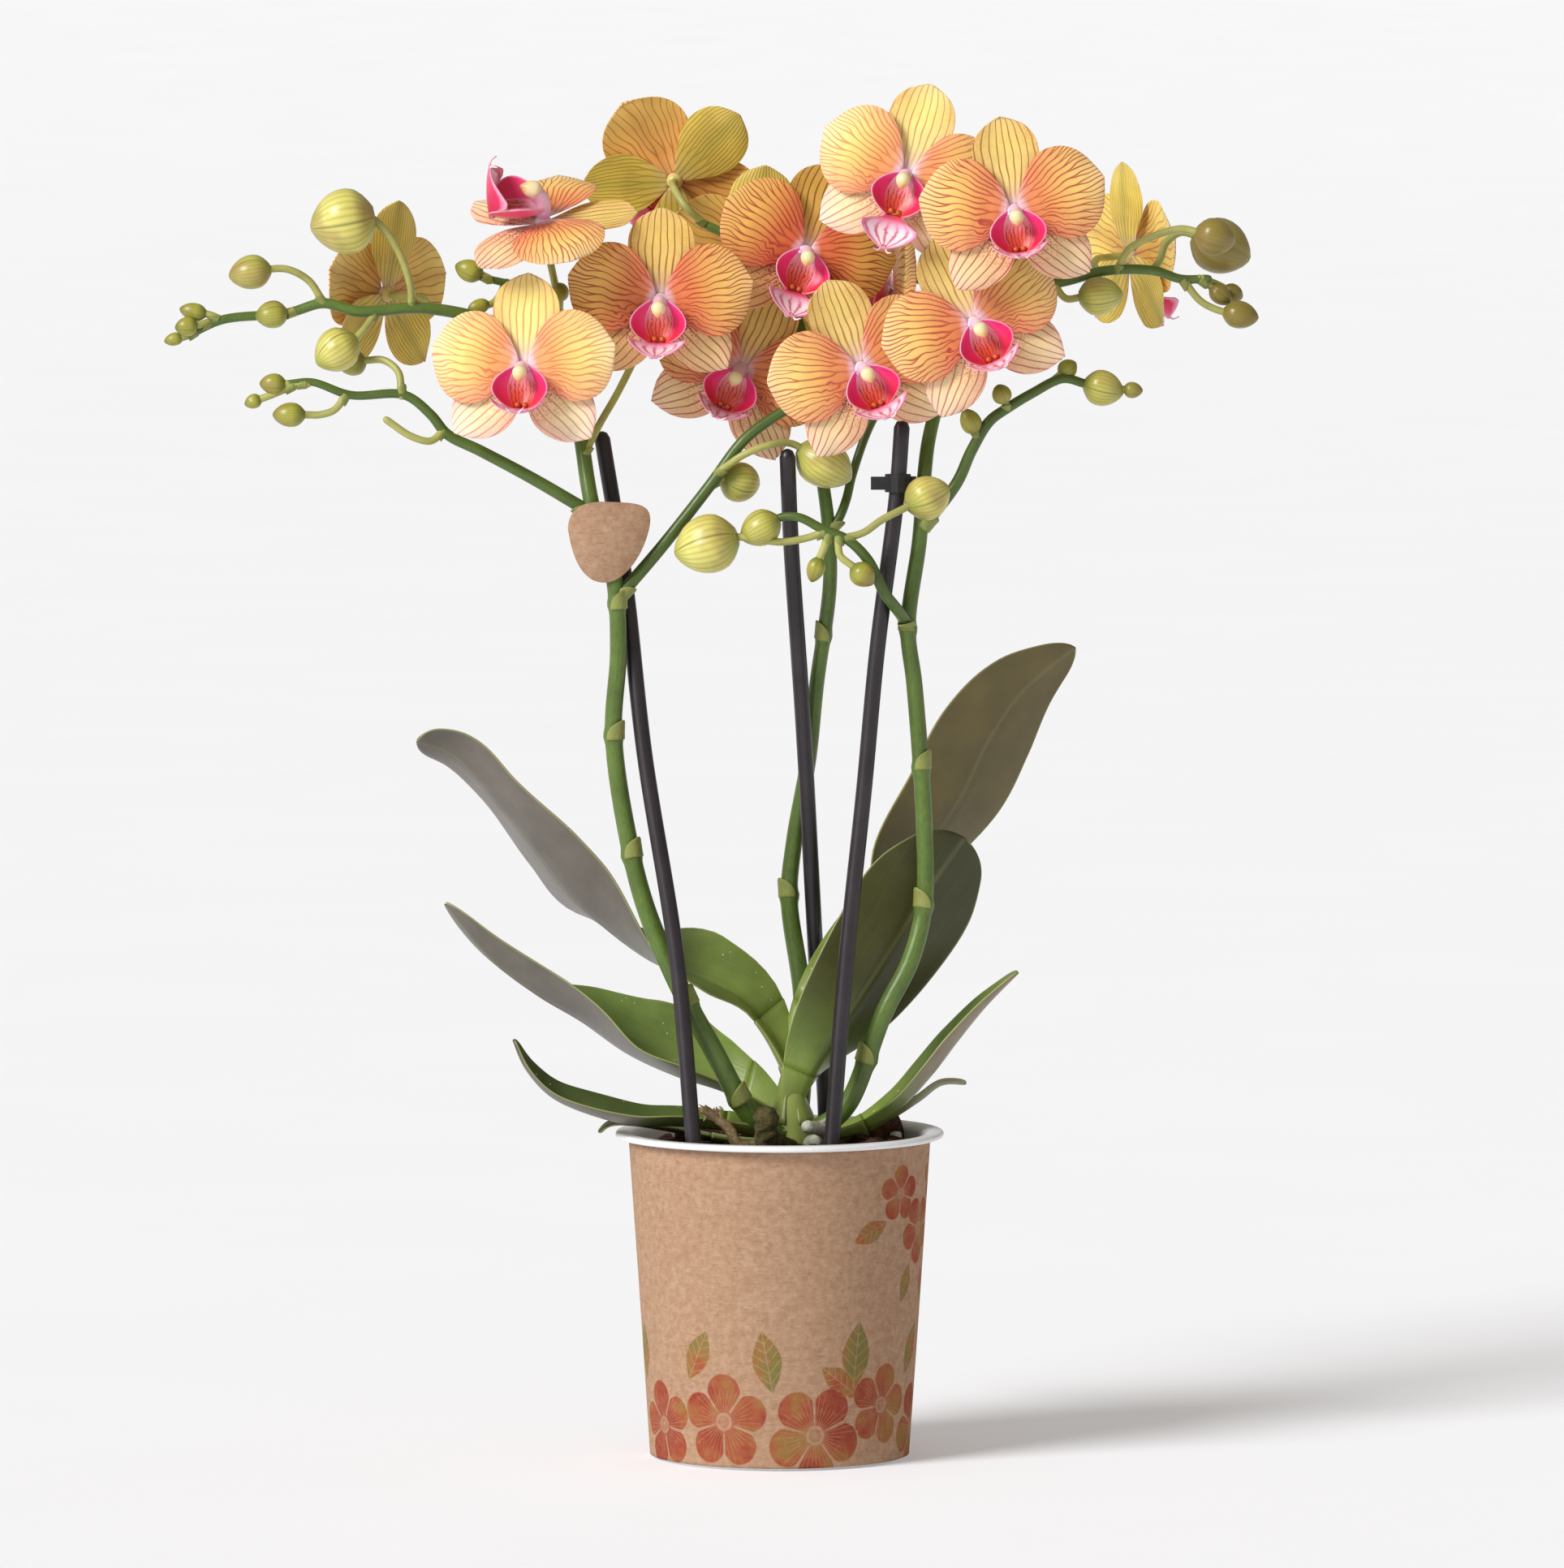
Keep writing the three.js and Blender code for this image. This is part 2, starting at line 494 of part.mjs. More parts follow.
const SPIKES = {
  left: [
    { path: [[1, -3, 99], [-8.5, -11.5, 106], [-21, -15.5, 128.5], [-29.5, -15, 144], [-41, -12, 170.5],
      [-47.5, -9, 197], [-51, -8, 224.5], [-49.5, -8, 250], [-51, -8, 272.5], [-57.5, -7, 294],
      [-61, 0, 314.5], [-63.5, 5, 327], [-70, 7, 338], [-82, 6, 347.5], [-97, 4, 352.5],
      [-111, 2, 354.5], [-129.5, 0, 353.5], [-140, 0, 356], [-151, 0, 353], [-171, -2, 351],
      [-181, -2, 346.5]], radius: [3.3, 1.3] },
    { path: [[-58, -7, 292], [-76, -6, 302.5], [-92, -6, 311], [-102, -6, 316], [-107, -6, 322],
      [-115, -6, 328], [-131.5, -6, 328], [-143.5, -6, 332], [-151, -6, 331.5]], radius: [2, 1.1] },
    { path: [[-49.5, -8, 266], [-36.5, -6, 281], [-21.5, -4, 300], [-11, -4, 314], [-2, -3, 321],
      [9, -2, 327], [17, -0.5, 332]], radius: [2, 1.3], bloom: 10 },
    { path: [[-61.5, 2, 318], [-65, 9, 336.5], [-67, 12, 349], [-72, 11, 359], [-82, 8, 361.5],
      [-92.5, 5, 364]], radius: [2, 1.1] },
    { path: [[-113, 2, 354.5], [-113.5, 0, 362], [-117, -2, 372], [-122, -3, 379.5],
      [-126, -3, 382.5]], bud: [-134, -3, 381, 20, 20] },
    { path: [[-140, 0, 356], [-144.5, -2, 363], [-151, -3, 366.5], [-157, -4, 366.5]],
      bud: [-162.5, -4, 365.5, 13, 10.5] },
    { path: [[-149, 0, 353.5], [-151, -1, 353]], bud: [-156, -2, 352.5, 10, 8.5] },
    { path: [[-124, 1, 353.5], [-126.5, -1, 349.5], [-130, -4, 345.5]],
      bud: [-136, -5, 341.5, 14.5, 13.5] },
    { path: [[-172, -2, 351], [-175, -2, 352.5]], bud: [-180, -2, 353.5, 8.5, 5.5] },
    { path: [[-175, -2, 350], [-178, -4, 349.5]], bud: [-182, -5, 349, 7, 6] },
    { path: [[-179, -2, 347.5], [-182, -2, 346]], bud: [-186, -2, 345, 6, 4] },
    { path: [[-145, -6, 331.5], [-151, -6, 331.5]], bud: [-155.5, -6, 331.5, 8, 6.5] },
    { path: [[-149, -6, 331], [-156, -6, 328]], bud: [-161.5, -6, 326, 5.5, 4.5] },
    { path: [[-133, -6, 328], [-136.5, -7, 323.5], [-141, -7, 322], [-145.5, -7, 322]],
      bud: [-150.5, -7, 322, 10, 7.5] },
    { path: [[-116, -6, 328], [-117, -4, 335], [-121.5, -1, 338.5], [-126, 1, 338.5]],
      bud: [-131.5, 3, 337.5, 9, 8] },
    { path: [[-103, -6, 317], [-107, -8, 314], [-113, -9, 315.5], [-120.5, -9, 320.5]] },
    { path: [[-68, 11, 352], [-67.5, 5, 357]], bud: [-67.5, 1.5, 359.5, 7.5, 5.5] },
    { path: [[-84, 8, 362], [-88, 5.5, 356]], bud: [-92.5, 4, 355, 7, 4.5] },
    { path: [[-89, 6, 363], [-91.5, 5, 364.5]], bud: [-95.5, 5, 366, 9, 7] },
    { path: [[-65, 6, 330], [-72, 6, 334]], bloom: 1 },
    { path: [[-60, -3, 309.5], [-55.5, 1, 318.5], [-50, 7, 328], [-43, 10, 342]], bloom: 2 },
    { path: [[-66.8, 12, 348], [-68, 9, 356]], bloom: 3 },
    { path: [[-108, 2.5, 354.2], [-109, 12, 356], [-111, 20, 357.5]], bloom: 5 },
    { path: [[-21.5, -4, 300], [-18, -1, 302]], bud: [-12, 3, 301, 13, 12.5] },
    { path: [[-19, -4.5, 304], [-11.5, -8, 309.5], [-4, -7, 312.5], [3.5, -2, 313]],
      bud: [14, 1, 306.5, 19, 15] },
  ],
  middle: [
    { path: [[5.5, 4, 100], [7, 13, 116], [7, 21, 140.5], [3, 26, 170.5], [4.5, 27, 188],
      [9, 22.5, 214.5], [11.5, 16, 238], [15.5, 9, 269], [15, 8, 287.5], [12, 10, 310], [9.5, 14, 331.5],
      [5, 15, 352], [-3, 14, 366], [-15, 13, 376], [-23, 14, 380]], radius: [3.1, 1.3] },
    { path: [[15.2, 8, 285.5], [18, 8, 289], [20.5, 10, 295], [22.5, 12, 303], [29, 16, 320],
      [41, 22, 336], [46, 25, 349]], radius: [1.5, 1.2], bloom: 14 },
    { path: [[10, 14, 329], [4, 16.5, 332]], bloom: 11 },
    { path: [[5, 15, 352], [7, 14, 361]], bloom: 6 },
    { path: [[-23, 14, 380], [-28.5, 12, 385], [-32, 16, 390]], bloom: 4 },
    { path: [[-3, 14, 366], [-6, 13, 367.5]], bloom: 13 },
  ],
  right: [
    { path: [[6, -1, 100], [14, -3, 103], [21, -5, 109.5], [32, -6, 137.5], [40.5, -5, 154.5],
      [44.5, -3, 171], [44.5, -2, 196.5], [41.5, -2, 238.5], [39.5, -3, 256.5], [43, -1, 283],
      [44.5, 0, 303], [46, 3, 314.5], [50, 5, 329.5], [56, 4, 344.5], [64.5, 2, 356.5],
      [74.5, 0, 361.5], [86, 0, 362.5], [100.5, 0, 366], [115, -1, 366], [123, -1, 363.5],
      [131.5, -1, 363.5]], radius: [3.2, 1.3] },
    { path: [[39.8, -3, 257], [36, -11, 262.5], [32, -16, 268], [27, -18, 278], [21, -18, 284],
      [13, -18, 287.5], [6, -18, 291], [0.5, -17, 291]], radius: [1.9, 1.2],
      bud: [-6, -17, 287.5, 13, 11] },
    { path: [[14, -18, 286.5], [7.5, -18, 284.5], [0.5, -18.5, 283.5], [-8, -19, 284.5],
      [-14, -18, 285]], bud: [-22.5, -17, 282.5, 20, 18] },
    { path: [[20, -18, 284.5], [26, -18, 286.5], [31, -17, 290], [39, -14, 294]],
      bud: [45.5, -12, 297, 14.5, 13.5] },
    { path: [[15, -18, 286], [13.5, -18, 281.5], [12, -18, 278]], bud: [11, -18, 275, 8, 5.5] },
    { path: [[18, -18, 285], [18.5, -20, 279.5], [22, -21, 276.5]],
      bud: [25.5, -21, 273.5, 8.5, 7.5] },
    { path: [[44, -1, 287], [54.5, -3, 301], [59, -4, 311], [64.5, -5, 320], [70, -5, 324],
      [77.5, -5, 328.5], [87, -4, 333], [93.5, -4, 331.5]], radius: [1.9, 1.3],
      bud: [99.5, -4, 330, 12.5, 11] },
    { path: [[99.5, -4, 330], [104, -4, 329.8]], bud: [108.5, -4, 329.5, 6, 5] },
    { path: [[84, -4, 332], [86, -3, 334]], bud: [88.5, -2, 336, 6.5, 6] },
    { path: [[70, -5, 324], [69, -7, 326]], bud: [68, -8.5, 328.5, 6.5, 6] },
    { path: [[61, -4.5, 315], [60, -5, 317]], bud: [58.5, -6, 320, 8.5, 6.5] },
    { path: [[84, 0, 362], [88, -3, 357.5], [92.5, -5, 358]], bud: [98.5, -5, 358.5, 13.5, 12] },
    { path: [[103.5, 0, 366], [107, -4, 372.5], [114, -7, 376.5], [123, -8, 379], [128, -8, 378]],
      bud: [133.5, -8, 376.5, 12.5, 11.5] },
    { path: [[114.5, -1, 366], [117, 4, 369.5], [119, 8, 374.5], [123.5, 9, 377.5],
      [128, 9, 376.5]], bud: [136, 9, 373, 19, 17] },
    { path: [[129, -1, 363.5], [132, 0, 361.5]], bud: [135.5, 0, 358.5, 8, 6] },
    { path: [[130, -1, 363.5], [135, 3, 361.5]], bud: [139.5, 5, 359, 7, 5.5] },
    { path: [[124, -1, 363], [129.5, -3, 356.5], [136, -4, 353.5]],
      bud: [141.5, -4, 352.5, 11, 8.5] },
    { path: [[49, 5, 327], [49, 12, 342], [47, 14, 358], [45, 11, 374], [42, 3, 388]],
      radius: [1.9, 1.2], bloom: 7 },
    { path: [[56, 4, 344.5], [57.5, 0, 347]], bloom: 9 },
    { path: [[74.5, 0, 361.5], [74, -5, 370], [72.5, -13, 379]], bloom: 8 },
    { path: [[98, 0, 365.5], [97, 12, 367.5], [98, 22, 369]], bloom: 12 },
  ],
};

// The last points of a stalk: square behind the bloom, a gap away from its hub.
function behindBloom(number) {
  const frame = bloomFrame(BLOOMS[number - 1]);
  return [STALK_STRAIGHT, HUB_RADIUS + GAP].map((back) =>
    new THREE.Vector3(0, 0, -back).applyMatrix4(frame).toArray());
}

function spike(parts, room) {
  const solids = [];
  for (const { path, radius, bud: head, bloom } of parts) {
    const end = bloom ? behindBloom(bloom) : head ? [head.slice(0, 3)] : [];
    const route = [...path, ...end];
    const [from, to] = radius ?? [STALK_RADIUS, STALK_RADIUS];
    const sides = !radius ? STALK_SIDES : from > THIN_BRANCH ? STEM_SIDES : BRANCH_SIDES;
    solids.push(bar(route, taper(from, to), sides));
    if (head) solids.push(bud(path.at(-1), head));
  }
  return mainBody(joined(solids).subtract(room));
}

// Clip on the right stake: a split ring with a grip to the left and an arm to the stem
const CLIP_HEIGHT = 301;
const CLIP = { ring: 4, thick: 5.5, grip: [-7.4, 5, 1.8, 4], arm: [4.3, 3.6, 1.8, 4] };
function stemClip(stakeSolid) {
  const at = [36.3, -6, CLIP_HEIGHT];
  const ring = new THREE.CylinderGeometry(CLIP.ring, CLIP.ring, CLIP.thick, 12);
  ring.rotateX(Math.PI / 2);
  const blocks = [CLIP.grip, CLIP.arm].map(([x, long, deep, high], i) => {
    const block = new THREE.BoxGeometry(long, deep, high);
    block.translate(x + (i ? -0.4 : 1.6), i ? 1.5 : -1, 0);
    return block;
  });
  const parts = [ring, ...blocks].map((geometry) => solidOf(geometry.translate(...at)));
  return mainBody(joined(parts).subtract(stakeSolid));
}

// Tag: a rounded, egg-shaped card that rests against the left spike
const TAG = { at: [-53, -10.7, 283.2], wide: 26.5, high: 25, thick: 0.8 };
function tag() {
  const outline = new THREE.Shape();
  const [w, h] = [TAG.wide / 2, TAG.high / 2];
  outline.moveTo(-0.9 * w, 0.35 * h);
  outline.bezierCurveTo(-0.85 * w, 0.95 * h, -0.4 * w, h, 0.1 * w, 0.98 * h);
  outline.bezierCurveTo(0.75 * w, 0.95 * h, 1.12 * w, 0.95 * h, 0.98 * w, 0.3 * h);
  outline.bezierCurveTo(0.85 * w, -0.3 * h, 0.45 * w, -0.95 * h, 0, -h);
  outline.bezierCurveTo(-0.5 * w, -1.05 * h, -0.8 * w, -0.5 * h, -0.9 * w, 0.35 * h);
  const card = new THREE.ExtrudeGeometry(outline, {
    depth: TAG.thick, bevelEnabled: false, curveSegments: 5 });
  card.rotateX(Math.PI / 2);
  card.translate(...TAG.at);
  return solidOf(card);
}

// Colours and finishes
const FINISH = {
  pot: { color: "#e8eaec", roughness: 0.35 },
  sleeve: { color: "#c69a72", roughness: 0.85 },
  mix: { color: "#3a1f16", roughness: 0.95 },
  crown: { color: "#8dbb3a", roughness: 0.45 },
  leaf: { color: "#3f6b2a", roughness: 0.4 },
  stem: { color: "#5b8c3a", roughness: 0.5 },
  stake: { color: "#3a3238", roughness: 0.45 },
  clip: { color: "#1d1b1e", roughness: 0.5 },
  petals: { color: "#f0b765", roughness: 0.6 },
  lip: { color: "#d81e7a", roughness: 0.5 },
  tag: { color: "#cfa47c", roughness: 0.85 },
};

const orchid = new THREE.Group();
function add(name, solid, finish, parent = orchid) {
  const material = new THREE.MeshStandardMaterial({ ...FINISH[finish], metalness: 0 });
  const mesh = new THREE.Mesh(geometryOf(solid), material);
  mesh.name = name;
  parent.add(mesh);
}

const crownRoom = crown(GAP);
const stakeRoom = joined(Object.values(STAKES).map((path) => stake(path, GAP)));
add("pot", pot(), "pot");
add("pot_sleeve", potSleeve(), "sleeve");
add("bark_mix", barkMix(joined([crownRoom, stakeRoom])), "mix");
add("crown", crown(), "crown");
LEAVES.forEach((shape, i) => add(`leaf_${i + 1}`, leaf(shape, crownRoom), "leaf"));
for (const [side, path] of Object.entries(STAKES)) add(`stake_${side}`, stake(path), "stake");
for (const [side, parts] of Object.entries(SPIKES)) add(`spike_${side}`, spike(parts, crownRoom), "stem");
add("stem_clip", stemClip(stakeRoom), "clip");
add("tag", tag(), "tag");

const petals = bloomPetals();
const lip = bloomLip();
BLOOMS.forEach((bloom, i) => {
  const group = new THREE.Group();
  group.applyMatrix4(bloomFrame(bloom));
  const name = `bloom_${String(i + 1).padStart(2, "0")}`;
  add(`${name}_petals`, petals, "petals", group);
  add(`${name}_lip`, lip, "lip", group);
  orchid.add(group);
});

export default orchid;
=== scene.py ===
# Potted moth orchid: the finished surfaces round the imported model. Sizes are in millimetres
# until a mesh is made. +X is the right of the plant's front view and -Y is its front.
import json
import math
import random

import bmesh
import bpy
from mathutils import Matrix, Quaternion, Vector, noise

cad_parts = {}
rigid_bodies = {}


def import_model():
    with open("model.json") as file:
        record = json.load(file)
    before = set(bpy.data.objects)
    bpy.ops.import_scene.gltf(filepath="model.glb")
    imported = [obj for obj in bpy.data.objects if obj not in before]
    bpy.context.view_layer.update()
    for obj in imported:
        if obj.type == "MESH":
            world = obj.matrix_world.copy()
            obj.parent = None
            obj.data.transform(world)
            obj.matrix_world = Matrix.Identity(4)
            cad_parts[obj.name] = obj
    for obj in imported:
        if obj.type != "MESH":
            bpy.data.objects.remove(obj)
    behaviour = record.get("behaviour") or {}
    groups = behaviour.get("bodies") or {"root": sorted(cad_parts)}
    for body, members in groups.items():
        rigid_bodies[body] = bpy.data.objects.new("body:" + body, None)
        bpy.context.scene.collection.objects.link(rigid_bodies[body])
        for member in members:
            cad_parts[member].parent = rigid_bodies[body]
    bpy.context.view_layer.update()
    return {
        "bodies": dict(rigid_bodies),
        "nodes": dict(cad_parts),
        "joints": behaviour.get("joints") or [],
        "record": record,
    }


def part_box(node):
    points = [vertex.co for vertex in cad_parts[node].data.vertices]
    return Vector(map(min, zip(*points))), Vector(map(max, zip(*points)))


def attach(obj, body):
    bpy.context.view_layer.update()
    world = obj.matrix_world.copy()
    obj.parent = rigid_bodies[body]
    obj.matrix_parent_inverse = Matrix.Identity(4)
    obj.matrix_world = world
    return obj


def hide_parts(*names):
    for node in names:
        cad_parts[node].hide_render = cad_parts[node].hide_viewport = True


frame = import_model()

MM = 0.001
UP = Vector((0, 0, 1))
BACK = Vector((0, 1, 0))
TURN = 2 * math.pi

# Colour and nodes


def linear(code):
    """An sRGB hex value as the linear colour that a socket takes."""
    parts = [int(code[i:i + 2], 16) / 255 for i in (1, 3, 5)]
    return (*[p / 12.92 if p <= 0.04045 else ((p + 0.055) / 1.055) ** 2.4 for p in parts], 1.0)


def per(size):
    """The texture scale whose features are about this many millimetres across."""
    return 1 / (size * MM)


class Finish:
    """A material whose nodes read where a point lies on its piece."""

    def __init__(self, name):
        self.material = bpy.data.materials.new(name)
        self.material.use_nodes = True
        self.tree = self.material.node_tree
        self.tree.nodes.clear()
        self.place = self.add("TexCoord").outputs["Object"]
        self.flow = self.add("SeparateXYZ", {0: self.add("Attribute", attribute_name="flow")
                                             .outputs["Vector"]})
        self.spot = self.add("SeparateXYZ", {0: self.add("Attribute", attribute_name="spot")
                                             .outputs["Vector"]})

    def add(self, kind, sockets=None, stops=(), **settings):
        """Adds a node. sockets maps an input's name or number to its value, or to what feeds it,
        and stops are the places and colours of a ramp."""
        node = self.tree.nodes.new("ShaderNode" + kind)
        for name, value in settings.items():
            setattr(node, name, value)
        if stops:
            ramp = node.color_ramp.elements
            while len(ramp) < len(stops):
                ramp.new(1.0)
            for element, (place, colour) in zip(ramp, stops):
                element.position, element.color = place, linear(colour)
        for key, value in (sockets or {}).items():
            if isinstance(key, str):
                socket = next(s for s in node.inputs if s.name == key and s.enabled)
            else:
                socket = node.inputs[key]
            if isinstance(value, bpy.types.Node):
                value = next(s for s in value.outputs if s.enabled)
            if isinstance(value, bpy.types.NodeSocket):
                self.tree.links.new(value, socket)
            else:
                socket.default_value = linear(value) if isinstance(value, str) else value
        return node

    def close(self, colour, relief=None, depth=0.05, **sockets):
        """Ends the tree; relief raises the surface by depth millimetres."""
        inputs = {name.replace("_", " "): value for name, value in sockets.items()}
        if relief is not None:
            inputs["Normal"] = self.add("Bump", {"Height": relief, "Distance": depth * MM})
        shader = self.add("BsdfPrincipled", {"Base Color": colour, **inputs})
        self.add("OutputMaterial", {"Surface": shader})
        return self.material


# Meshes


def polar(radius, angle, z):
    """The point at a radius and an angle about the upright axis."""
    return Vector((radius * math.cos(angle), radius * math.sin(angle), z))


class Skin:
    """Closed surfaces that become one piece, with the places that its finishes read."""

    def __init__(self, **finishes):
        self.finishes = finishes
        self.points, self.flow, self.spot = [], [], []
        self.faces, self.kinds = [], []

    def dots(self, points, flow, spot):
        first = len(self.points)
        self.points.extend(points)
        self.flow.extend(flow)
        self.spot.extend(spot)
        return first

    def side(self, corners, kind):
        self.faces.append(corners)
        self.kinds.append(kind)

    def rings(self, rings, kinds, ends="point"):
        """Skins a row of closed rings of (point, flow, spot). kinds names the finish of each quad
        round a ring."""
        count = len(rings[0])
        starts = [self.dots(*zip(*ring)) for ring in rings]
        for a, b in zip(starts, starts[1:]):
            for k in range(count):
                n = (k + 1) % count
                self.side((a + k, a + n, b + n, b + k), kinds[k])
        for start, ring, flip in ((starts[0], rings[0], True), (starts[-1], rings[-1], False)):
            if ends == "seam":
                half = count // 2
                for k in range(half - 1):
                    quad = (start + k, start + k + 1, start + count - 2 - k, start + count - 1 - k)
                    self.side(quad if flip else quad[::-1], kinds[k])
            else:
                middle = sum((p for p, _, _ in ring), Vector()) / count
                hub = self.dots([middle], [ring[0][1]], [ring[0][2]])
                for k in range(count):
                    pair = (start + (k + 1) % count, start + k)
                    self.side((*(pair if flip else pair[::-1]), hub), kinds[k])

    def piece(self, name, *nodes, slot):
        mesh = bpy.data.meshes.new(name)
        mesh.from_pydata([p * MM for p in self.points], [], self.faces)
        for key in ("flow", "spot"):
            layer = mesh.attributes.new(key, "FLOAT_VECTOR", "POINT")
            layer.data.foreach_set("vector", [c for row in getattr(self, key) for c in row])
        order = list(self.finishes)
        for material in self.finishes.values():
            mesh.materials.append(material)
        mesh.polygons.foreach_set("material_index", [order.index(kind) for kind in self.kinds])
        mesh.polygons.foreach_set("use_smooth", [True] * len(self.faces))
        work = bmesh.new()
        work.from_mesh(mesh)
        bmesh.ops.recalc_face_normals(work, faces=work.faces)
        work.to_mesh(mesh)
        work.free()
        return placed(mesh, name, *nodes, slot=slot)


def placed(mesh, name, *nodes, slot):
    piece = bpy.data.objects.new(name, mesh)
    bpy.context.scene.collection.objects.link(piece)
    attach(piece, "root")
    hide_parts(*nodes)
    return piece


def route(points, step):
    """Points about step apart on a smooth curve through points, each with its share of the way."""
    knots = [Vector(p) for p in points]
    knots = [2 * knots[0] - knots[1], *knots, 2 * knots[-1] - knots[-2]]
    spans = len(knots) - 3
    found = []
    for i in range(spans):
        a, b, c, d = knots[i:i + 4]
        before, across, after = [max((q - p).length, 1e-6) ** 0.5
                                 for p, q in ((a, b), (b, c), (c, d))]
        leave = ((b - a) / before - (c - a) / (before + across) + (c - b) / across) * across
        reach = ((c - b) / across - (d - b) / (across + after) + (d - c) / after) * across
        cuts = max(1, round((c - b).length / step))
        for k in range(cuts + (i == spans - 1)):
            t = k / cuts
            at = (b * (2 * t ** 3 - 3 * t ** 2 + 1) + leave * (t ** 3 - 2 * t ** 2 + t)
                  + c * (3 * t ** 2 - 2 * t ** 3) + reach * (t ** 3 - t ** 2))
            found.append((at, (i + t) / spans))
    return found


def carried(points):
    """The way ahead, and two ways across that don't twist, at each point of a path."""
    last = len(points) - 1
    aheads = [(points[min(i + 1, last)] - points[max(i - 1, 0)]).normalized()
              for i in range(last + 1)]
    across = aheads[0].orthogonal().normalized()
    frames = []
    for before, ahead in zip([aheads[0], *aheads], aheads):
        across = before.rotation_difference(ahead) @ across
        frames.append((ahead, across, ahead.cross(across)))
    return frames


def tube(skin, kind, points, radius, sides=12, tone=0.0, relief=None):
    """A closed round bar along points; radius is read at each point's share and place."""
    frames = carried([p for p, _ in points])
    far = 0.0
    rings = []

    def ring(middle, frame, wide, share):
        ahead, right, top = frame
        made = []
        for k in range(sides):
            angle = TURN * k / sides
            swell = wide * (1 + relief(far, angle)) if relief else wide
            at = middle + (right * math.cos(angle) + top * math.sin(angle)) * swell
            made.append((at, (k / sides, far, wide), (share, 0.0, tone)))
        return made

    ends = (math.radians(75), math.radians(45))
    for i, ((middle, share), frame) in enumerate(zip(points, frames)):
        far += (middle - points[max(i - 1, 0)][0]).length
        wide = radius(share, middle)
        if i == 0:
            rings += [ring(middle - frame[0] * wide * math.sin(a), frame, wide * math.cos(a), share)
                      for a in ends]
        rings.append(ring(middle, frame, wide, share))
        if i == len(points) - 1:
            rings += [ring(middle + frame[0] * wide * math.sin(a), frame, wide * math.cos(a), share)
                      for a in reversed(ends)]
    skin.rings(rings, [kind] * sides)


def blade(skin, place, kinds, rows, columns, thickness, values):
    """A closed thin blade over place(u, v), u from 0 to 1 and v from -1 to 1. kinds names the
    finish of its front and its back, and values(u, v) gives the flow and spot there."""
    step = 1e-3
    cuts = [math.sin(math.pi / 2 * (2 * j / columns - 1)) for j in range(columns + 1)]
    rings = []
    for u in rows:
        front, back = [], []
        for v in cuts:
            middle = place(u, v)
            along = place(min(u + step, 1), v) - place(max(u - step, 0), v)
            across = place(u, min(v + step, 1)) - place(u, max(v - step, -1))
            normal = along.cross(across)
            normal = normal.normalized() if normal.length > 1e-12 else UP
            half = thickness * (0.5 - 0.32 * abs(v) ** 6)
            flow, spot = values(u, v)
            front.append((middle + normal * half, flow, spot))
            back.append((middle - normal * half, flow, spot))
        rings.append(front + back[::-1])
    face, rear = kinds
    skin.rings(rings, [face] * columns + [face] + [rear] * columns + [rear], ends="seam")


def egg(skin, kind, middle, axis, length, width, profile, rings=18, sides=20, tone=0.0, shape=None):
    """A closed round body on an axis; profile gives its radius along it, shape its corners."""
    turn = UP.rotation_difference(axis)
    made = []
    for i in range(rings + 1):
        t = 0.5 - 0.5 * math.cos(math.pi * (i + 0.35) / (rings + 0.7))
        ring = []
        for k in range(sides):
            angle = TURN * k / sides
            wide = width / 2 * profile(t) * (shape(t, angle) if shape else 1)
            at = polar(wide, angle, (t - 0.5) * length)
            ring.append((turn @ at + middle, (k / sides, t * length, wide), (t, angle, tone)))
        made.append(ring)
    skin.rings(made, [kind] * sides)


def lathed(skin, profile, sides, wave):
    """A closed ring about Z. profile is a loop of (radius, height, finish), and wave(angle, height)
    pushes the surface out a little."""
    count = len(profile)
    starts = []
    for k in range(sides):
        angle = TURN * k / sides
        ring = [(polar(radius + wave(angle, height), angle, height), (angle, height, radius),
                 (0, 0, 0)) for radius, height, _ in profile]
        starts.append(skin.dots(*zip(*ring)))
    for i, a in enumerate(starts):
        b = starts[(i + 1) % sides]
        for k in range(count):
            n = (k + 1) % count
            skin.side((a + k, a + n, b + n, b + k), profile[k][2])


def smooth(x, low, high):
    """0 at low and before it, 1 at high and past it, eased between."""
    t = min(max((x - low) / (high - low), 0), 1)
    return t * t * (3 - 2 * t)


def through(pairs, x):
    """The value at x on straight lines through pairs."""
    for (a, p), (b, q) in zip(pairs, pairs[1:]):
        if x <= b:
            return p + (q - p) * (x - a) / (b - a)
    return pairs[-1][1]


# Living petals: matt, slightly translucent tissue under a fine network of rust veins


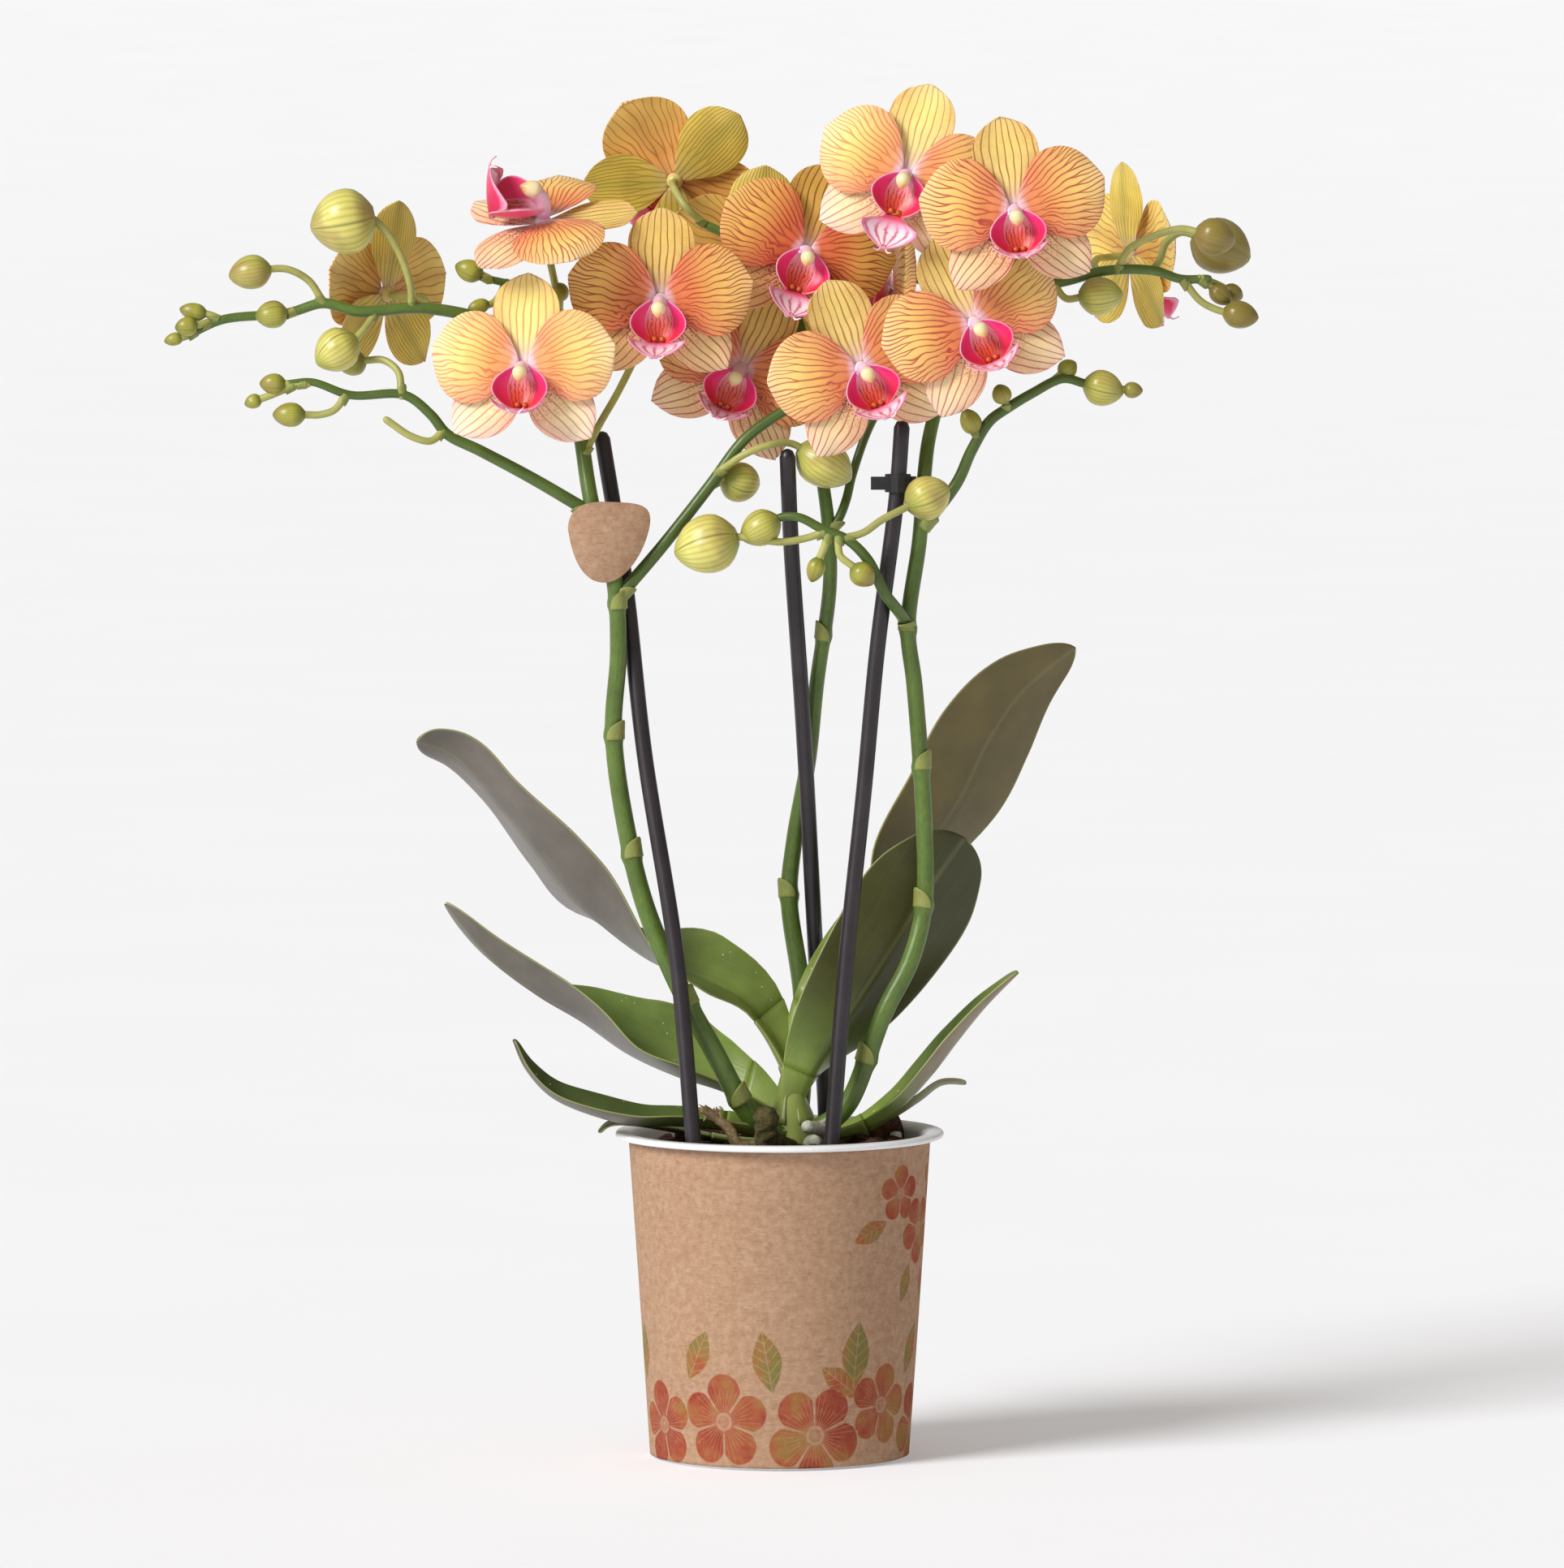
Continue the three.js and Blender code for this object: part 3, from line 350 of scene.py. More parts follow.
def veins(finish, forks, crazed=False):
    """The share of vein at a point. flow holds the vein number, the distance from the middle of
    the bloom and the distance between veins. Each of forks is where a vein parts in two: where
    it begins, where the two run apart, and how far apart they end as a share of the spacing.
    Crazed veins wander more in the lower half near the middle, as the ridges of a fingertip."""
    number, reach, spacing = finish.flow.outputs
    low = finish.spot.outputs[1]
    wander = finish.add("TexNoise", {"Vector": finish.place, "Scale": per(7), "Detail": 0.4})
    patch = finish.add("TexNoise", {"Vector": finish.place, "Scale": per(7), "Detail": 1.0})
    number = finish.add("Math", {0: wander, 1: 0.7, 2: number}, operation="MULTIPLY_ADD")
    if crazed:
        low = finish.add("MapRange", {"Value": low, "From Min": -0.1, "From Max": 0.8},
                         interpolation_type="SMOOTHSTEP")
        near = finish.add("MapRange", {"Value": reach, "From Min": 9.0, "From Max": 19.0,
                                       "To Min": 1.5, "To Max": 0.1},
                          interpolation_type="SMOOTHSTEP")
        ridge = finish.add("TexNoise", {"Vector": finish.place, "Scale": per(2.2), "Detail": 0.0})
        ridge = finish.add("Math", {0: ridge, 1: low}, operation="MULTIPLY")
        number = finish.add("Math", {0: ridge, 1: near, 2: number}, operation="MULTIPLY_ADD")
    away = finish.add("Math", {0: number, 1: 0.5}, operation="PINGPONG")
    for begin, apart, share in forks:
        spread = finish.add("MapRange", {"Value": reach, "From Min": begin, "From Max": apart,
                                         "To Min": 0.0, "To Max": share},
                            interpolation_type="SMOOTHSTEP")
        away = finish.add("Math", {0: away, 1: spread}, operation="SUBTRACT")
        away = finish.add("Math", {0: away}, operation="ABSOLUTE")
    away = finish.add("Math", {0: away, 1: spacing}, operation="MULTIPLY")
    wide = finish.add("MapRange", {"Value": reach, "From Min": 5.0, "From Max": 25.0,
                                   "To Min": 0.46, "To Max": 0.3})
    uneven = finish.add("MapRange", {"Value": patch, "From Min": 0.35, "From Max": 0.65,
                                     "To Min": 0.7, "To Max": 1.25})
    wide = finish.add("Math", {0: wide, 1: uneven}, operation="MULTIPLY")
    return finish.add("MapRange", {"Value": away, "From Min": 0.03, "From Max": wide,
                                   "To Min": 1.0, "To Max": 0.0}, interpolation_type="SMOOTHSTEP")


LILAC_WHITE = "#F6DDEA"
BRIGHT_VEIN = "#C04644"
DARK_VEIN = "#98291C"


def segment_front(name, middle, margin, low, dark, forks, inks=(BRIGHT_VEIN, DARK_VEIN),
                  crazed=False, freckled=False, net=0.2):
    """The face of a petal or sepal. The ramps run from the middle of the bloom to the tip: along
    the middle of the segment, along its margins, along its lower margin, and where the bloom is
    in its darker colours. inks colour the veins of the palest and the darkest bloom, and net is
    how strong the fine net between them is."""
    finish = Finish(name)
    share, across, tone = finish.spot.outputs
    reach = finish.flow.outputs[1]
    vein = veins(finish, forks, crazed=crazed)
    side = finish.add("Math", {0: across}, operation="ABSOLUTE")
    web = finish.add("TexVoronoi", {"Vector": finish.place, "Scale": per(1.3)},
                     feature="DISTANCE_TO_EDGE")
    web = finish.add("MapRange", {"Value": web, "From Min": 0.03, "From Max": 0.13,
                                  "To Min": net, "To Max": 0.0})
    outer = finish.add("MapRange", {"Value": side, "From Min": 0.3, "From Max": 0.95})
    web = finish.add("Math", {0: web, 1: outer}, operation="MULTIPLY")
    vein = finish.add("Math", {0: vein, 1: web}, operation="MAXIMUM")
    if freckled:
        cell = finish.add("TexVoronoi", {"Vector": finish.place, "Scale": per(0.8)})
        dot = finish.add("MapRange", {"Value": cell.outputs["Distance"], "From Min": 0.3,
                                      "From Max": 0.45, "To Min": 1.3, "To Max": 0.0})
        close = finish.add("MapRange", {"Value": reach, "From Min": 10.0, "From Max": 20.0,
                                        "To Min": 1.0, "To Max": 0.0})
        dot = finish.add("Math", {0: dot, 1: close}, operation="MULTIPLY")
        vein = finish.add("Math", {0: vein, 1: dot}, operation="MAXIMUM")
    side = finish.add("Math", {0: side, 1: 1.8}, operation="POWER")
    under = finish.add("MapRange", {"Value": across, "From Min": -0.2, "From Max": 0.7})
    edge = finish.add("Mix", {
        "Factor": under, "A": finish.add("ValToRGB", {0: share}, stops=margin),
        "B": finish.add("ValToRGB", {0: share}, stops=low)}, data_type="RGBA")
    ground = finish.add("Mix", {"Factor": side, "B": edge,
                                "A": finish.add("ValToRGB", {0: share}, stops=middle)},
                        data_type="RGBA")
    ground = finish.add("Mix", {"Factor": tone, "A": ground,
                                "B": finish.add("ValToRGB", {0: share}, stops=dark)},
                        data_type="RGBA")
    cloud = finish.add("TexNoise", {"Vector": finish.place, "Scale": per(3.5), "Detail": 4.0})
    lift = finish.add("MapRange", {"Value": cloud, "From Min": 0.3, "From Max": 0.7,
                                   "To Min": 0.93, "To Max": 1.06})
    ground = finish.add("Mix", {"Factor": 1.0, "A": ground, "B": lift}, data_type="RGBA",
                        blend_type="MULTIPLY")
    ink = finish.add("Mix", {"Factor": tone, "A": inks[0], "B": inks[1]}, data_type="RGBA")
    fade = finish.add("MapRange", {"Value": reach, "From Min": 3.0, "From Max": 11.0,
                                   "To Min": 0.3, "To Max": 0.92})
    strength = finish.add("Math", {0: vein, 1: fade}, operation="MULTIPLY")
    bold = finish.add("MapRange", {"Value": tone, "From Max": 0.35, "To Min": 0.68, "To Max": 1.0})
    strength = finish.add("Math", {0: strength, 1: bold}, operation="MULTIPLY")
    colour = finish.add("Mix", {"Factor": strength, "A": ground, "B": ink}, data_type="RGBA")
    heart = finish.add("MapRange", {"Value": reach, "From Min": 1.8, "From Max": 5.2,
                                    "To Min": 1.0, "To Max": 0.0})
    colour = finish.add("Mix", {"Factor": heart, "A": colour, "B": LILAC_WHITE}, data_type="RGBA")
    return finish.close(colour, relief=vein, depth=-0.06, Roughness=0.5, Subsurface_Weight=0.08,
                        Subsurface_Scale=0.001, Subsurface_Radius=(1.0, 0.5, 0.2),
                        Sheen_Weight=0.05, Specular_IOR_Level=0.3)


def segment_back(name, bright, deep, rib, ink):
    """The back of a petal or sepal, with the veins showing through. bright and deep are its ramps
    from the middle of the bloom to the tip, for the palest and the darkest bloom."""
    finish = Finish(name)
    share, across, tone = finish.spot.outputs
    vein = veins(finish, [(8.0, 14.0, 0.25)])
    ground = finish.add("Mix", {
        "Factor": tone, "A": finish.add("ValToRGB", {0: share}, stops=bright),
        "B": finish.add("ValToRGB", {0: share}, stops=deep)}, data_type="RGBA")
    cloud = finish.add("TexNoise", {"Vector": finish.place, "Scale": per(9), "Detail": 3.0})
    shade = finish.add("MapRange", {"Value": cloud, "From Min": 0.3, "From Max": 0.7,
                                    "To Min": 0.85, "To Max": 1.1})
    ground = finish.add("Mix", {"Factor": 1.0, "A": ground, "B": shade}, data_type="RGBA",
                        blend_type="MULTIPLY")
    middle = finish.add("Math", {0: across}, operation="ABSOLUTE")
    middle = finish.add("MapRange", {"Value": middle, "From Min": 0.02, "From Max": 0.35,
                                     "To Min": 0.4, "To Max": 0.0})
    ground = finish.add("Mix", {"Factor": middle, "A": ground, "B": rib}, data_type="RGBA")
    faint = finish.add("Math", {0: vein, 1: 0.6}, operation="MULTIPLY")
    colour = finish.add("Mix", {"Factor": faint, "A": ground, "B": ink}, data_type="RGBA")
    return finish.close(colour, relief=vein, depth=0.06, Roughness=0.5, Subsurface_Weight=0.08,
                        Subsurface_Scale=0.001, Subsurface_Radius=(1.0, 0.5, 0.2),
                        Sheen_Weight=0.05, Specular_IOR_Level=0.3)


def lip_tissue(name, along, rim=None, rim_from=0.86, streak=None, streaks=0.0, wander=1.6,
               spots=None):
    """Waxy lip tissue, glossier than the petals. along colours it from its foot to its tip, rim
    its margins, streak its lengthwise stripes, which wander a little, and spots its dots."""
    finish = Finish(name)
    share, across, _ = finish.spot.outputs
    colour = finish.add("ValToRGB", {0: share}, stops=along)
    side = finish.add("Math", {0: across}, operation="ABSOLUTE")
    grain = finish.add("TexNoise", {"Vector": finish.place, "Scale": per(1.6), "Detail": 3.0})
    if streak:
        number = finish.add("Math", {0: across, 1: streaks}, operation="MULTIPLY")
        number = finish.add("Math", {0: grain, 1: wander, 2: number}, operation="MULTIPLY_ADD")
        stripe = finish.add("Math", {0: number, 1: 0.5}, operation="PINGPONG")
        stripe = finish.add("MapRange", {"Value": stripe, "From Min": 0.06, "From Max": 0.26,
                                         "To Min": 0.85, "To Max": 0.0})
        begin = finish.add("MapRange", {"Value": share, "From Min": 0.15, "From Max": 0.45})
        stripe = finish.add("Math", {0: stripe, 1: begin}, operation="MULTIPLY")
        colour = finish.add("Mix", {"Factor": stripe, "A": colour, "B": streak}, data_type="RGBA")
    if rim:
        border = finish.add("Math", {0: grain, 1: 0.12, 2: side}, operation="MULTIPLY_ADD")
        border = finish.add("MapRange", {"Value": border, "From Min": rim_from,
                                         "From Max": rim_from + 0.14})
        colour = finish.add("Mix", {"Factor": border, "A": colour, "B": rim}, data_type="RGBA")
    if spots:
        cell = finish.add("TexVoronoi", {"Vector": finish.place, "Scale": per(0.95)})
        dot = finish.add("MapRange", {"Value": cell.outputs["Distance"], "From Min": 0.2,
                                      "From Max": 0.34, "To Min": 0.9, "To Max": 0.0})
        colour = finish.add("Mix", {"Factor": dot, "A": colour, "B": spots}, data_type="RGBA")
    return finish.close(colour, relief=grain, depth=0.08, Roughness=0.36,
                        Subsurface_Weight=0.15, Subsurface_Scale=0.001,
                        Subsurface_Radius=(1.0, 0.4, 0.4), Specular_IOR_Level=0.45)


def green_skin(name, young, old, streak, roughness):
    """A smooth living rind with fine lengthwise streaks. flow holds the share of the way round
    and the distance along; a tone of 1 takes the older colour."""
    finish = Finish(name)
    around, far, _ = finish.flow.outputs
    tone = finish.spot.outputs[2]
    ground = finish.add("Mix", {"Factor": tone, "A": young, "B": old}, data_type="RGBA")
    lines = finish.add("CombineXYZ", {0: around, 1: finish.add("Math", {0: far, 1: 0.015},
                                                               operation="MULTIPLY")})
    fibre = finish.add("TexNoise", {"Vector": lines, "Scale": 26.0, "Detail": 2.0})
    cloud = finish.add("TexNoise", {"Vector": finish.place, "Scale": per(10), "Detail": 4.0})
    mark = finish.add("MapRange", {"Value": fibre, "From Min": 0.45, "From Max": 0.75,
                                   "To Min": 0.0, "To Max": 0.5})
    colour = finish.add("Mix", {"Factor": mark, "A": ground, "B": streak}, data_type="RGBA")
    shade = finish.add("MapRange", {"Value": cloud, "From Min": 0.3, "From Max": 0.7,
                                    "To Min": 0.8, "To Max": 1.15})
    colour = finish.add("Mix", {"Factor": 1.0, "A": colour, "B": shade}, data_type="RGBA",
                        blend_type="MULTIPLY")
    return finish.close(colour, relief=fibre, depth=0.06, Roughness=roughness,
                        Subsurface_Weight=0.08, Subsurface_Scale=0.001,
                        Specular_IOR_Level=0.45)


def bud_skin():
    """The closed sepals of a bud: waxy, striped along, with three darker seams."""
    finish = Finish("bud_sepals_waxy")
    around, _, brown = finish.flow.outputs
    share, angle, tone = finish.spot.outputs
    ground = finish.add("Mix", {
        "Factor": tone,
        "A": finish.add("ValToRGB", {0: share}, stops=[
            (0.0, "#9DA24A"), (0.3, "#D8CF6C"), (0.75, "#DED67A"), (1.0, "#AEB04A")]),
        "B": finish.add("ValToRGB", {0: share}, stops=[
            (0.0, "#6E7A2C"), (0.4, "#A8A640"), (0.8, "#97953A"), (1.0, "#6A7428")])},
        data_type="RGBA")
    ground = finish.add("Mix", {"Factor": brown, "A": ground, "B": "#7E6A2C"}, data_type="RGBA")
    flush = finish.add("TexNoise", {"Vector": finish.place, "Scale": per(11), "Detail": 2.0})
    flush = finish.add("MapRange", {"Value": flush, "From Min": 0.5, "From Max": 0.72,
                                    "To Min": 0.0, "To Max": 0.55})
    ground = finish.add("Mix", {"Factor": flush, "A": ground, "B": "#A07855"}, data_type="RGBA")
    number = finish.add("Math", {0: around, 1: 27.0}, operation="MULTIPLY")
    stripe = finish.add("Math", {0: number, 1: 0.5}, operation="PINGPONG")
    stripe = finish.add("MapRange", {"Value": stripe, "From Min": 0.05, "From Max": 0.3,
                                     "To Min": 0.3, "To Max": 0.0})
    colour = finish.add("Mix", {"Factor": stripe, "A": ground, "B": "#7A7030"}, data_type="RGBA")
    seam = finish.add("Math", {0: angle, 1: 1.5}, operation="MULTIPLY")
    seam = finish.add("Math", {0: seam}, operation="SINE")
    seam = finish.add("Math", {0: seam}, operation="ABSOLUTE")
    seam = finish.add("MapRange", {"Value": seam, "From Min": 0.02, "From Max": 0.1,
                                   "To Min": 0.6, "To Max": 0.0})
    colour = finish.add("Mix", {"Factor": seam, "A": colour, "B": "#6A6A2A"}, data_type="RGBA")
    return finish.close(colour, relief=stripe, depth=-0.05, Roughness=0.33,
                        Subsurface_Weight=0.12, Subsurface_Scale=0.001, Specular_IOR_Level=0.5)


def leaf_face(name, ground, rib, line, roughness, flecks_and_glints=0.0):
    """A leathery cuticle: fine lines along it, a lighter rib, and a thin pale margin. ground is
    its ramps from foot to tip, for the palest and the darkest leaf. flow holds the millimetres
    across and along."""
    finish = Finish(name)
    across, far, _ = finish.flow.outputs
    share, part, tone = finish.spot.outputs
    colour = finish.add("ValToRGB", {0: share}, stops=ground[0])
    deep = finish.add("ValToRGB", {0: share}, stops=ground[1])
    colour = finish.add("Mix", {"Factor": tone, "A": colour, "B": deep}, data_type="RGBA")
    cloud = finish.add("TexNoise", {"Vector": finish.place, "Scale": per(14), "Detail": 5.0})
    shade = finish.add("MapRange", {"Value": cloud, "From Min": 0.3, "From Max": 0.7,
                                    "To Min": 0.8, "To Max": 1.18})
    colour = finish.add("Mix", {"Factor": 1.0, "A": colour, "B": shade}, data_type="RGBA",
                        blend_type="MULTIPLY")
    rows = finish.add("CombineXYZ", {0: across, 1: finish.add("Math", {0: far, 1: 0.03},
                                                              operation="MULTIPLY")})
    lines = finish.add("TexNoise", {"Vector": rows, "Scale": 1.3, "Detail": 2.0})
    mark = finish.add("MapRange", {"Value": lines, "From Min": 0.5, "From Max": 0.75,
                                   "To Min": 0.0, "To Max": 0.22})
    colour = finish.add("Mix", {"Factor": mark, "A": colour, "B": line}, data_type="RGBA")
    side = finish.add("Math", {0: across}, operation="ABSOLUTE")
    middle = finish.add("MapRange", {"Value": side, "From Min": 0.3, "From Max": 1.0,
                                     "To Min": 0.35, "To Max": 0.0})
    colour = finish.add("Mix", {"Factor": middle, "A": colour, "B": rib}, data_type="RGBA")
    border = finish.add("Math", {0: part}, operation="ABSOLUTE")
    border = finish.add("MapRange", {"Value": border, "From Min": 0.965, "From Max": 0.995,
                                     "To Min": 0.0, "To Max": 0.55})
    colour = finish.add("Mix", {"Factor": border, "A": colour, "B": "#A7A86A"}, data_type="RGBA")
    # Pale flecks on the face: partly marks on the cuticle, partly painted highlight standing for
    # the small streaky glints of a glossy leaf.
    if flecks_and_glints:
        cell = finish.add("TexVoronoi", {"Vector": finish.place, "Scale": per(3.4)})
        dot = finish.add("MapRange", {"Value": cell.outputs["Distance"], "From Min": 0.05,
                                      "From Max": 0.1, "To Min": flecks_and_glints, "To Max": 0.0})
        colour = finish.add("Mix", {"Factor": dot, "A": colour, "B": "#E8EBDD"}, data_type="RGBA")
    relief = finish.add("Math", {0: cloud, 1: 6.0, 2: lines}, operation="MULTIPLY_ADD")
    return finish.close(colour, relief=relief, depth=0.05, Roughness=roughness,
                        Specular_IOR_Level=0.5)


def grainy(name, colours, size, roughness, depth, fine=0.5, **sockets):
    """A rough natural or moulded surface: clouds of the given colours, size millimetres across."""
    finish = Finish(name)
    cloud = finish.add("TexNoise", {"Vector": finish.place, "Scale": per(size), "Detail": 6.0,
                                    "Roughness": 0.62})
    stops = [(0.3 + 0.4 * i / (len(colours) - 1), code) for i, code in enumerate(colours)]
    colour = finish.add("ValToRGB", {0: cloud}, stops=stops)
    grit = finish.add("TexNoise", {"Vector": finish.place, "Scale": per(fine), "Detail": 2.0})
    shade = finish.add("MapRange", {"Value": grit, "From Min": 0.25, "From Max": 0.75,
                                    "To Min": 0.9, "To Max": 1.08})
    colour = finish.add("Mix", {"Factor": 1.0, "A": colour, "B": shade}, data_type="RGBA",
                        blend_type="MULTIPLY")
    relief = finish.add("Math", {0: cloud, 1: 2.0, 2: grit}, operation="MULTIPLY_ADD")
    return finish.close(colour, relief=relief, depth=depth, Roughness=roughness, **sockets)


def kraft(name, printed=False):
    """Uncoated kraft paper: matt and brown, mottled, with short pale and dark pulp fibres."""
    finish = Finish(name)
    mottle = finish.add("TexNoise", {"Vector": finish.place, "Scale": per(2.2), "Detail": 5.0,
                                     "Roughness": 0.7})
    colour = finish.add("ValToRGB", {0: mottle}, stops=[(0.34, "#9E7B60"), (0.5, "#AA886D"),
                                                        (0.66, "#B4947A")])
    relief = mottle
    for turn, pulp in ((0.5, "#8A664A"), (-0.8, "#C2A58C"), (1.4, "#916D50")):
        laid = finish.add("Mapping", {"Vector": finish.place, "Rotation": (0.3, turn, turn),
                                      "Scale": (per(3.2), per(3.2), per(0.5))})
        fibre = finish.add("TexNoise", {"Vector": laid, "Scale": 1.0, "Detail": 2.0})
        strand = finish.add("MapRange", {"Value": fibre, "From Min": 0.6, "From Max": 0.72,
                                         "To Min": 0.0, "To Max": 0.4})
        colour = finish.add("Mix", {"Factor": strand, "A": colour, "B": pulp}, data_type="RGBA")
        relief = finish.add("Math", {0: relief, 1: fibre}, operation="ADD")
    if printed:
        colour = print_over(finish, colour, mottle)
    return finish.close(colour, relief=relief, depth=0.04, Roughness=0.88,
                        Specular_IOR_Level=0.25)


def print_over(finish, paper, mottle):
    """Soft inks over the paper, in the way of a watercolour. motif holds the place on the nearest
    motif, as shares of its size, and its hue, which is negative for a leaf."""
    motif = finish.add("Attribute", attribute_name="motif").outputs["Vector"]
    x, y, hue = finish.add("SeparateXYZ", {0: motif}).outputs
    is_leaf = finish.add("Math", {0: hue, 1: 0.0}, operation="LESS_THAN")
    cover = finish.add("Mix", {"Factor": is_leaf, "A": blossom_ink(finish, x, y),
                               "B": leaf_ink(finish, x, y)})
    pool = finish.add("TexNoise", {"Vector": finish.place, "Scale": per(13), "Detail": 3.0})
    tint = finish.add("Math", {0: hue}, operation="ABSOLUTE")
    pool = finish.add("MapRange", {"Value": pool, "To Min": -1.3, "To Max": 1.3})
    tint = finish.add("Math", {0: tint, 1: pool}, operation="ADD")
    ink = finish.add("ValToRGB", {0: tint}, stops=[
        (0.0, "#8C2C18"), (0.25, "#974526"), (0.5, "#92602C"), (0.75, "#80692E"), (1.0, "#6C6A30")])
    worn = finish.add("MapRange", {"Value": mottle, "From Min": 0.3, "From Max": 0.7,
                                   "To Min": 0.95, "To Max": 0.78})
    cover = finish.add("Math", {0: cover, 1: worn}, operation="MULTIPLY")
    return finish.add("Mix", {"Factor": cover, "A": paper, "B": ink}, data_type="RGBA")


def blossom_ink(finish, x, y):
    """A round blossom of five petals, with rays, seams and a ring round its heart left bare."""
    square = finish.add("Math", {0: y, 1: y}, operation="MULTIPLY")
    square = finish.add("Math", {0: x, 1: x, 2: square}, operation="MULTIPLY_ADD")
    reach = finish.add("Math", {0: square}, operation="SQRT")
    angle = finish.add("Math", {0: y, 1: x}, operation="ARCTAN2")
    petal = finish.add("Math", {0: angle, 1: 2.5}, operation="MULTIPLY")
    petal = finish.add("Math", {0: petal}, operation="COSINE")
    petal = finish.add("Math", {0: petal}, operation="ABSOLUTE")
    edge = finish.add("Math", {0: petal, 1: 0.5}, operation="POWER")
    edge = finish.add("Math", {0: edge, 1: 0.48, 2: 0.52}, operation="MULTIPLY_ADD")
    cover = finish.add("Math", {0: edge, 1: reach}, operation="SUBTRACT")
    cover = finish.add("MapRange", {"Value": cover, "From Min": 0.0, "From Max": 0.03})
    ray = finish.add("Math", {0: angle, 1: 20.0}, operation="MULTIPLY")
    ray = finish.add("Math", {0: ray}, operation="SINE")
    ray = finish.add("Math", {0: ray}, operation="ABSOLUTE")
    ray = finish.add("Math", {0: ray, 1: reach}, operation="MULTIPLY")
    ray = finish.add("MapRange", {"Value": ray, "From Min": 0.05, "From Max": 0.14,
                                  "To Min": 0.35, "To Max": 1.0})
    far = finish.add("Math", {0: reach, 1: petal}, operation="MULTIPLY")
    far = finish.add("MapRange", {"Value": far, "From Min": 0.5, "From Max": 0.62})
    ray = finish.add("Math", {0: ray, 1: far}, operation="MAXIMUM")
    ring = finish.add("Math", {0: reach, 1: 0.16}, operation="SUBTRACT")
    ring = finish.add("Math", {0: ring}, operation="ABSOLUTE")
    ring = finish.add("MapRange", {"Value": ring, "From Min": 0.02, "From Max": 0.045,
                                   "To Min": 0.2, "To Max": 1.0})
    seam = finish.add("Math", {0: petal, 1: 0.08}, operation="SUBTRACT")
    seam = finish.add("Math", {0: seam, 1: reach}, operation="MULTIPLY")
    seam = finish.add("MapRange", {"Value": seam, "From Min": 0.0, "From Max": 0.06,
                                   "To Min": 0.1, "To Max": 1.0})
    near = finish.add("MapRange", {"Value": reach, "From Min": 0.2, "From Max": 0.3,
                                   "To Min": 1.0, "To Max": 0.0})
    seam = finish.add("Math", {0: seam, 1: near}, operation="MAXIMUM")
    for bare in (ray, ring, seam):
        cover = finish.add("Math", {0: cover, 1: bare}, operation="MULTIPLY")
    return cover


def leaf_ink(finish, x, y):
    """A pointed leaf, with its middle rib and slanted side ribs left bare."""
    rib_step = 0.0785  # half the way from one side rib to the next, as a share of the leaf
    arch = finish.add("Clamp", {0: x})
    arch = finish.add("Math", {0: arch, 1: math.pi}, operation="MULTIPLY")
    arch = finish.add("Math", {0: arch}, operation="SINE")
    arch = finish.add("Math", {0: arch, 1: 0.24}, operation="MULTIPLY")
    side = finish.add("Math", {0: y}, operation="ABSOLUTE")
    cover = finish.add("Math", {0: arch, 1: side}, operation="SUBTRACT")
    cover = finish.add("MapRange", {"Value": cover, "From Min": 0.0, "From Max": 0.02})
    slant = finish.add("Math", {0: side, 1: -0.9, 2: x}, operation="MULTIPLY_ADD")
    slant = finish.add("Math", {0: slant, 1: rib_step}, operation="PINGPONG")
    rib = finish.add("Math", {0: side, 1: slant}, operation="MINIMUM")
    rib = finish.add("MapRange", {"Value": rib, "From Min": 0.004, "From Max": 0.014,
                                  "To Min": 0.35, "To Max": 1.0})
    return finish.add("Math", {0: cover, 1: rib}, operation="MULTIPLY")


# Where everything grows: the model's own stations and routes

# A stake's route, from its foot in the mix to its top.
STAKES = {
    "left": [[-17, -31, 25], [-25.5, -29, 91.5], [-31.5, -20, 155.5], [-41.5, -9, 218],
        [-47.5, -0.5, 270.5], [-54.6, 7, 314]],
    "middle": [[14, 31, 25], [14.5, 33, 97], [11.5, 28, 148.5], [7.5, 14, 222.5], [3.5, 1.5, 283],
        [2.4, -3.2, 309]],
    "right": [[11, -21, 25], [15.5, -17, 90.5], [20.5, -13, 155], [26, -10, 207.5], [30, -8, 250],
        [36, -6, 297.5], [37.5, -6, 318]],
}

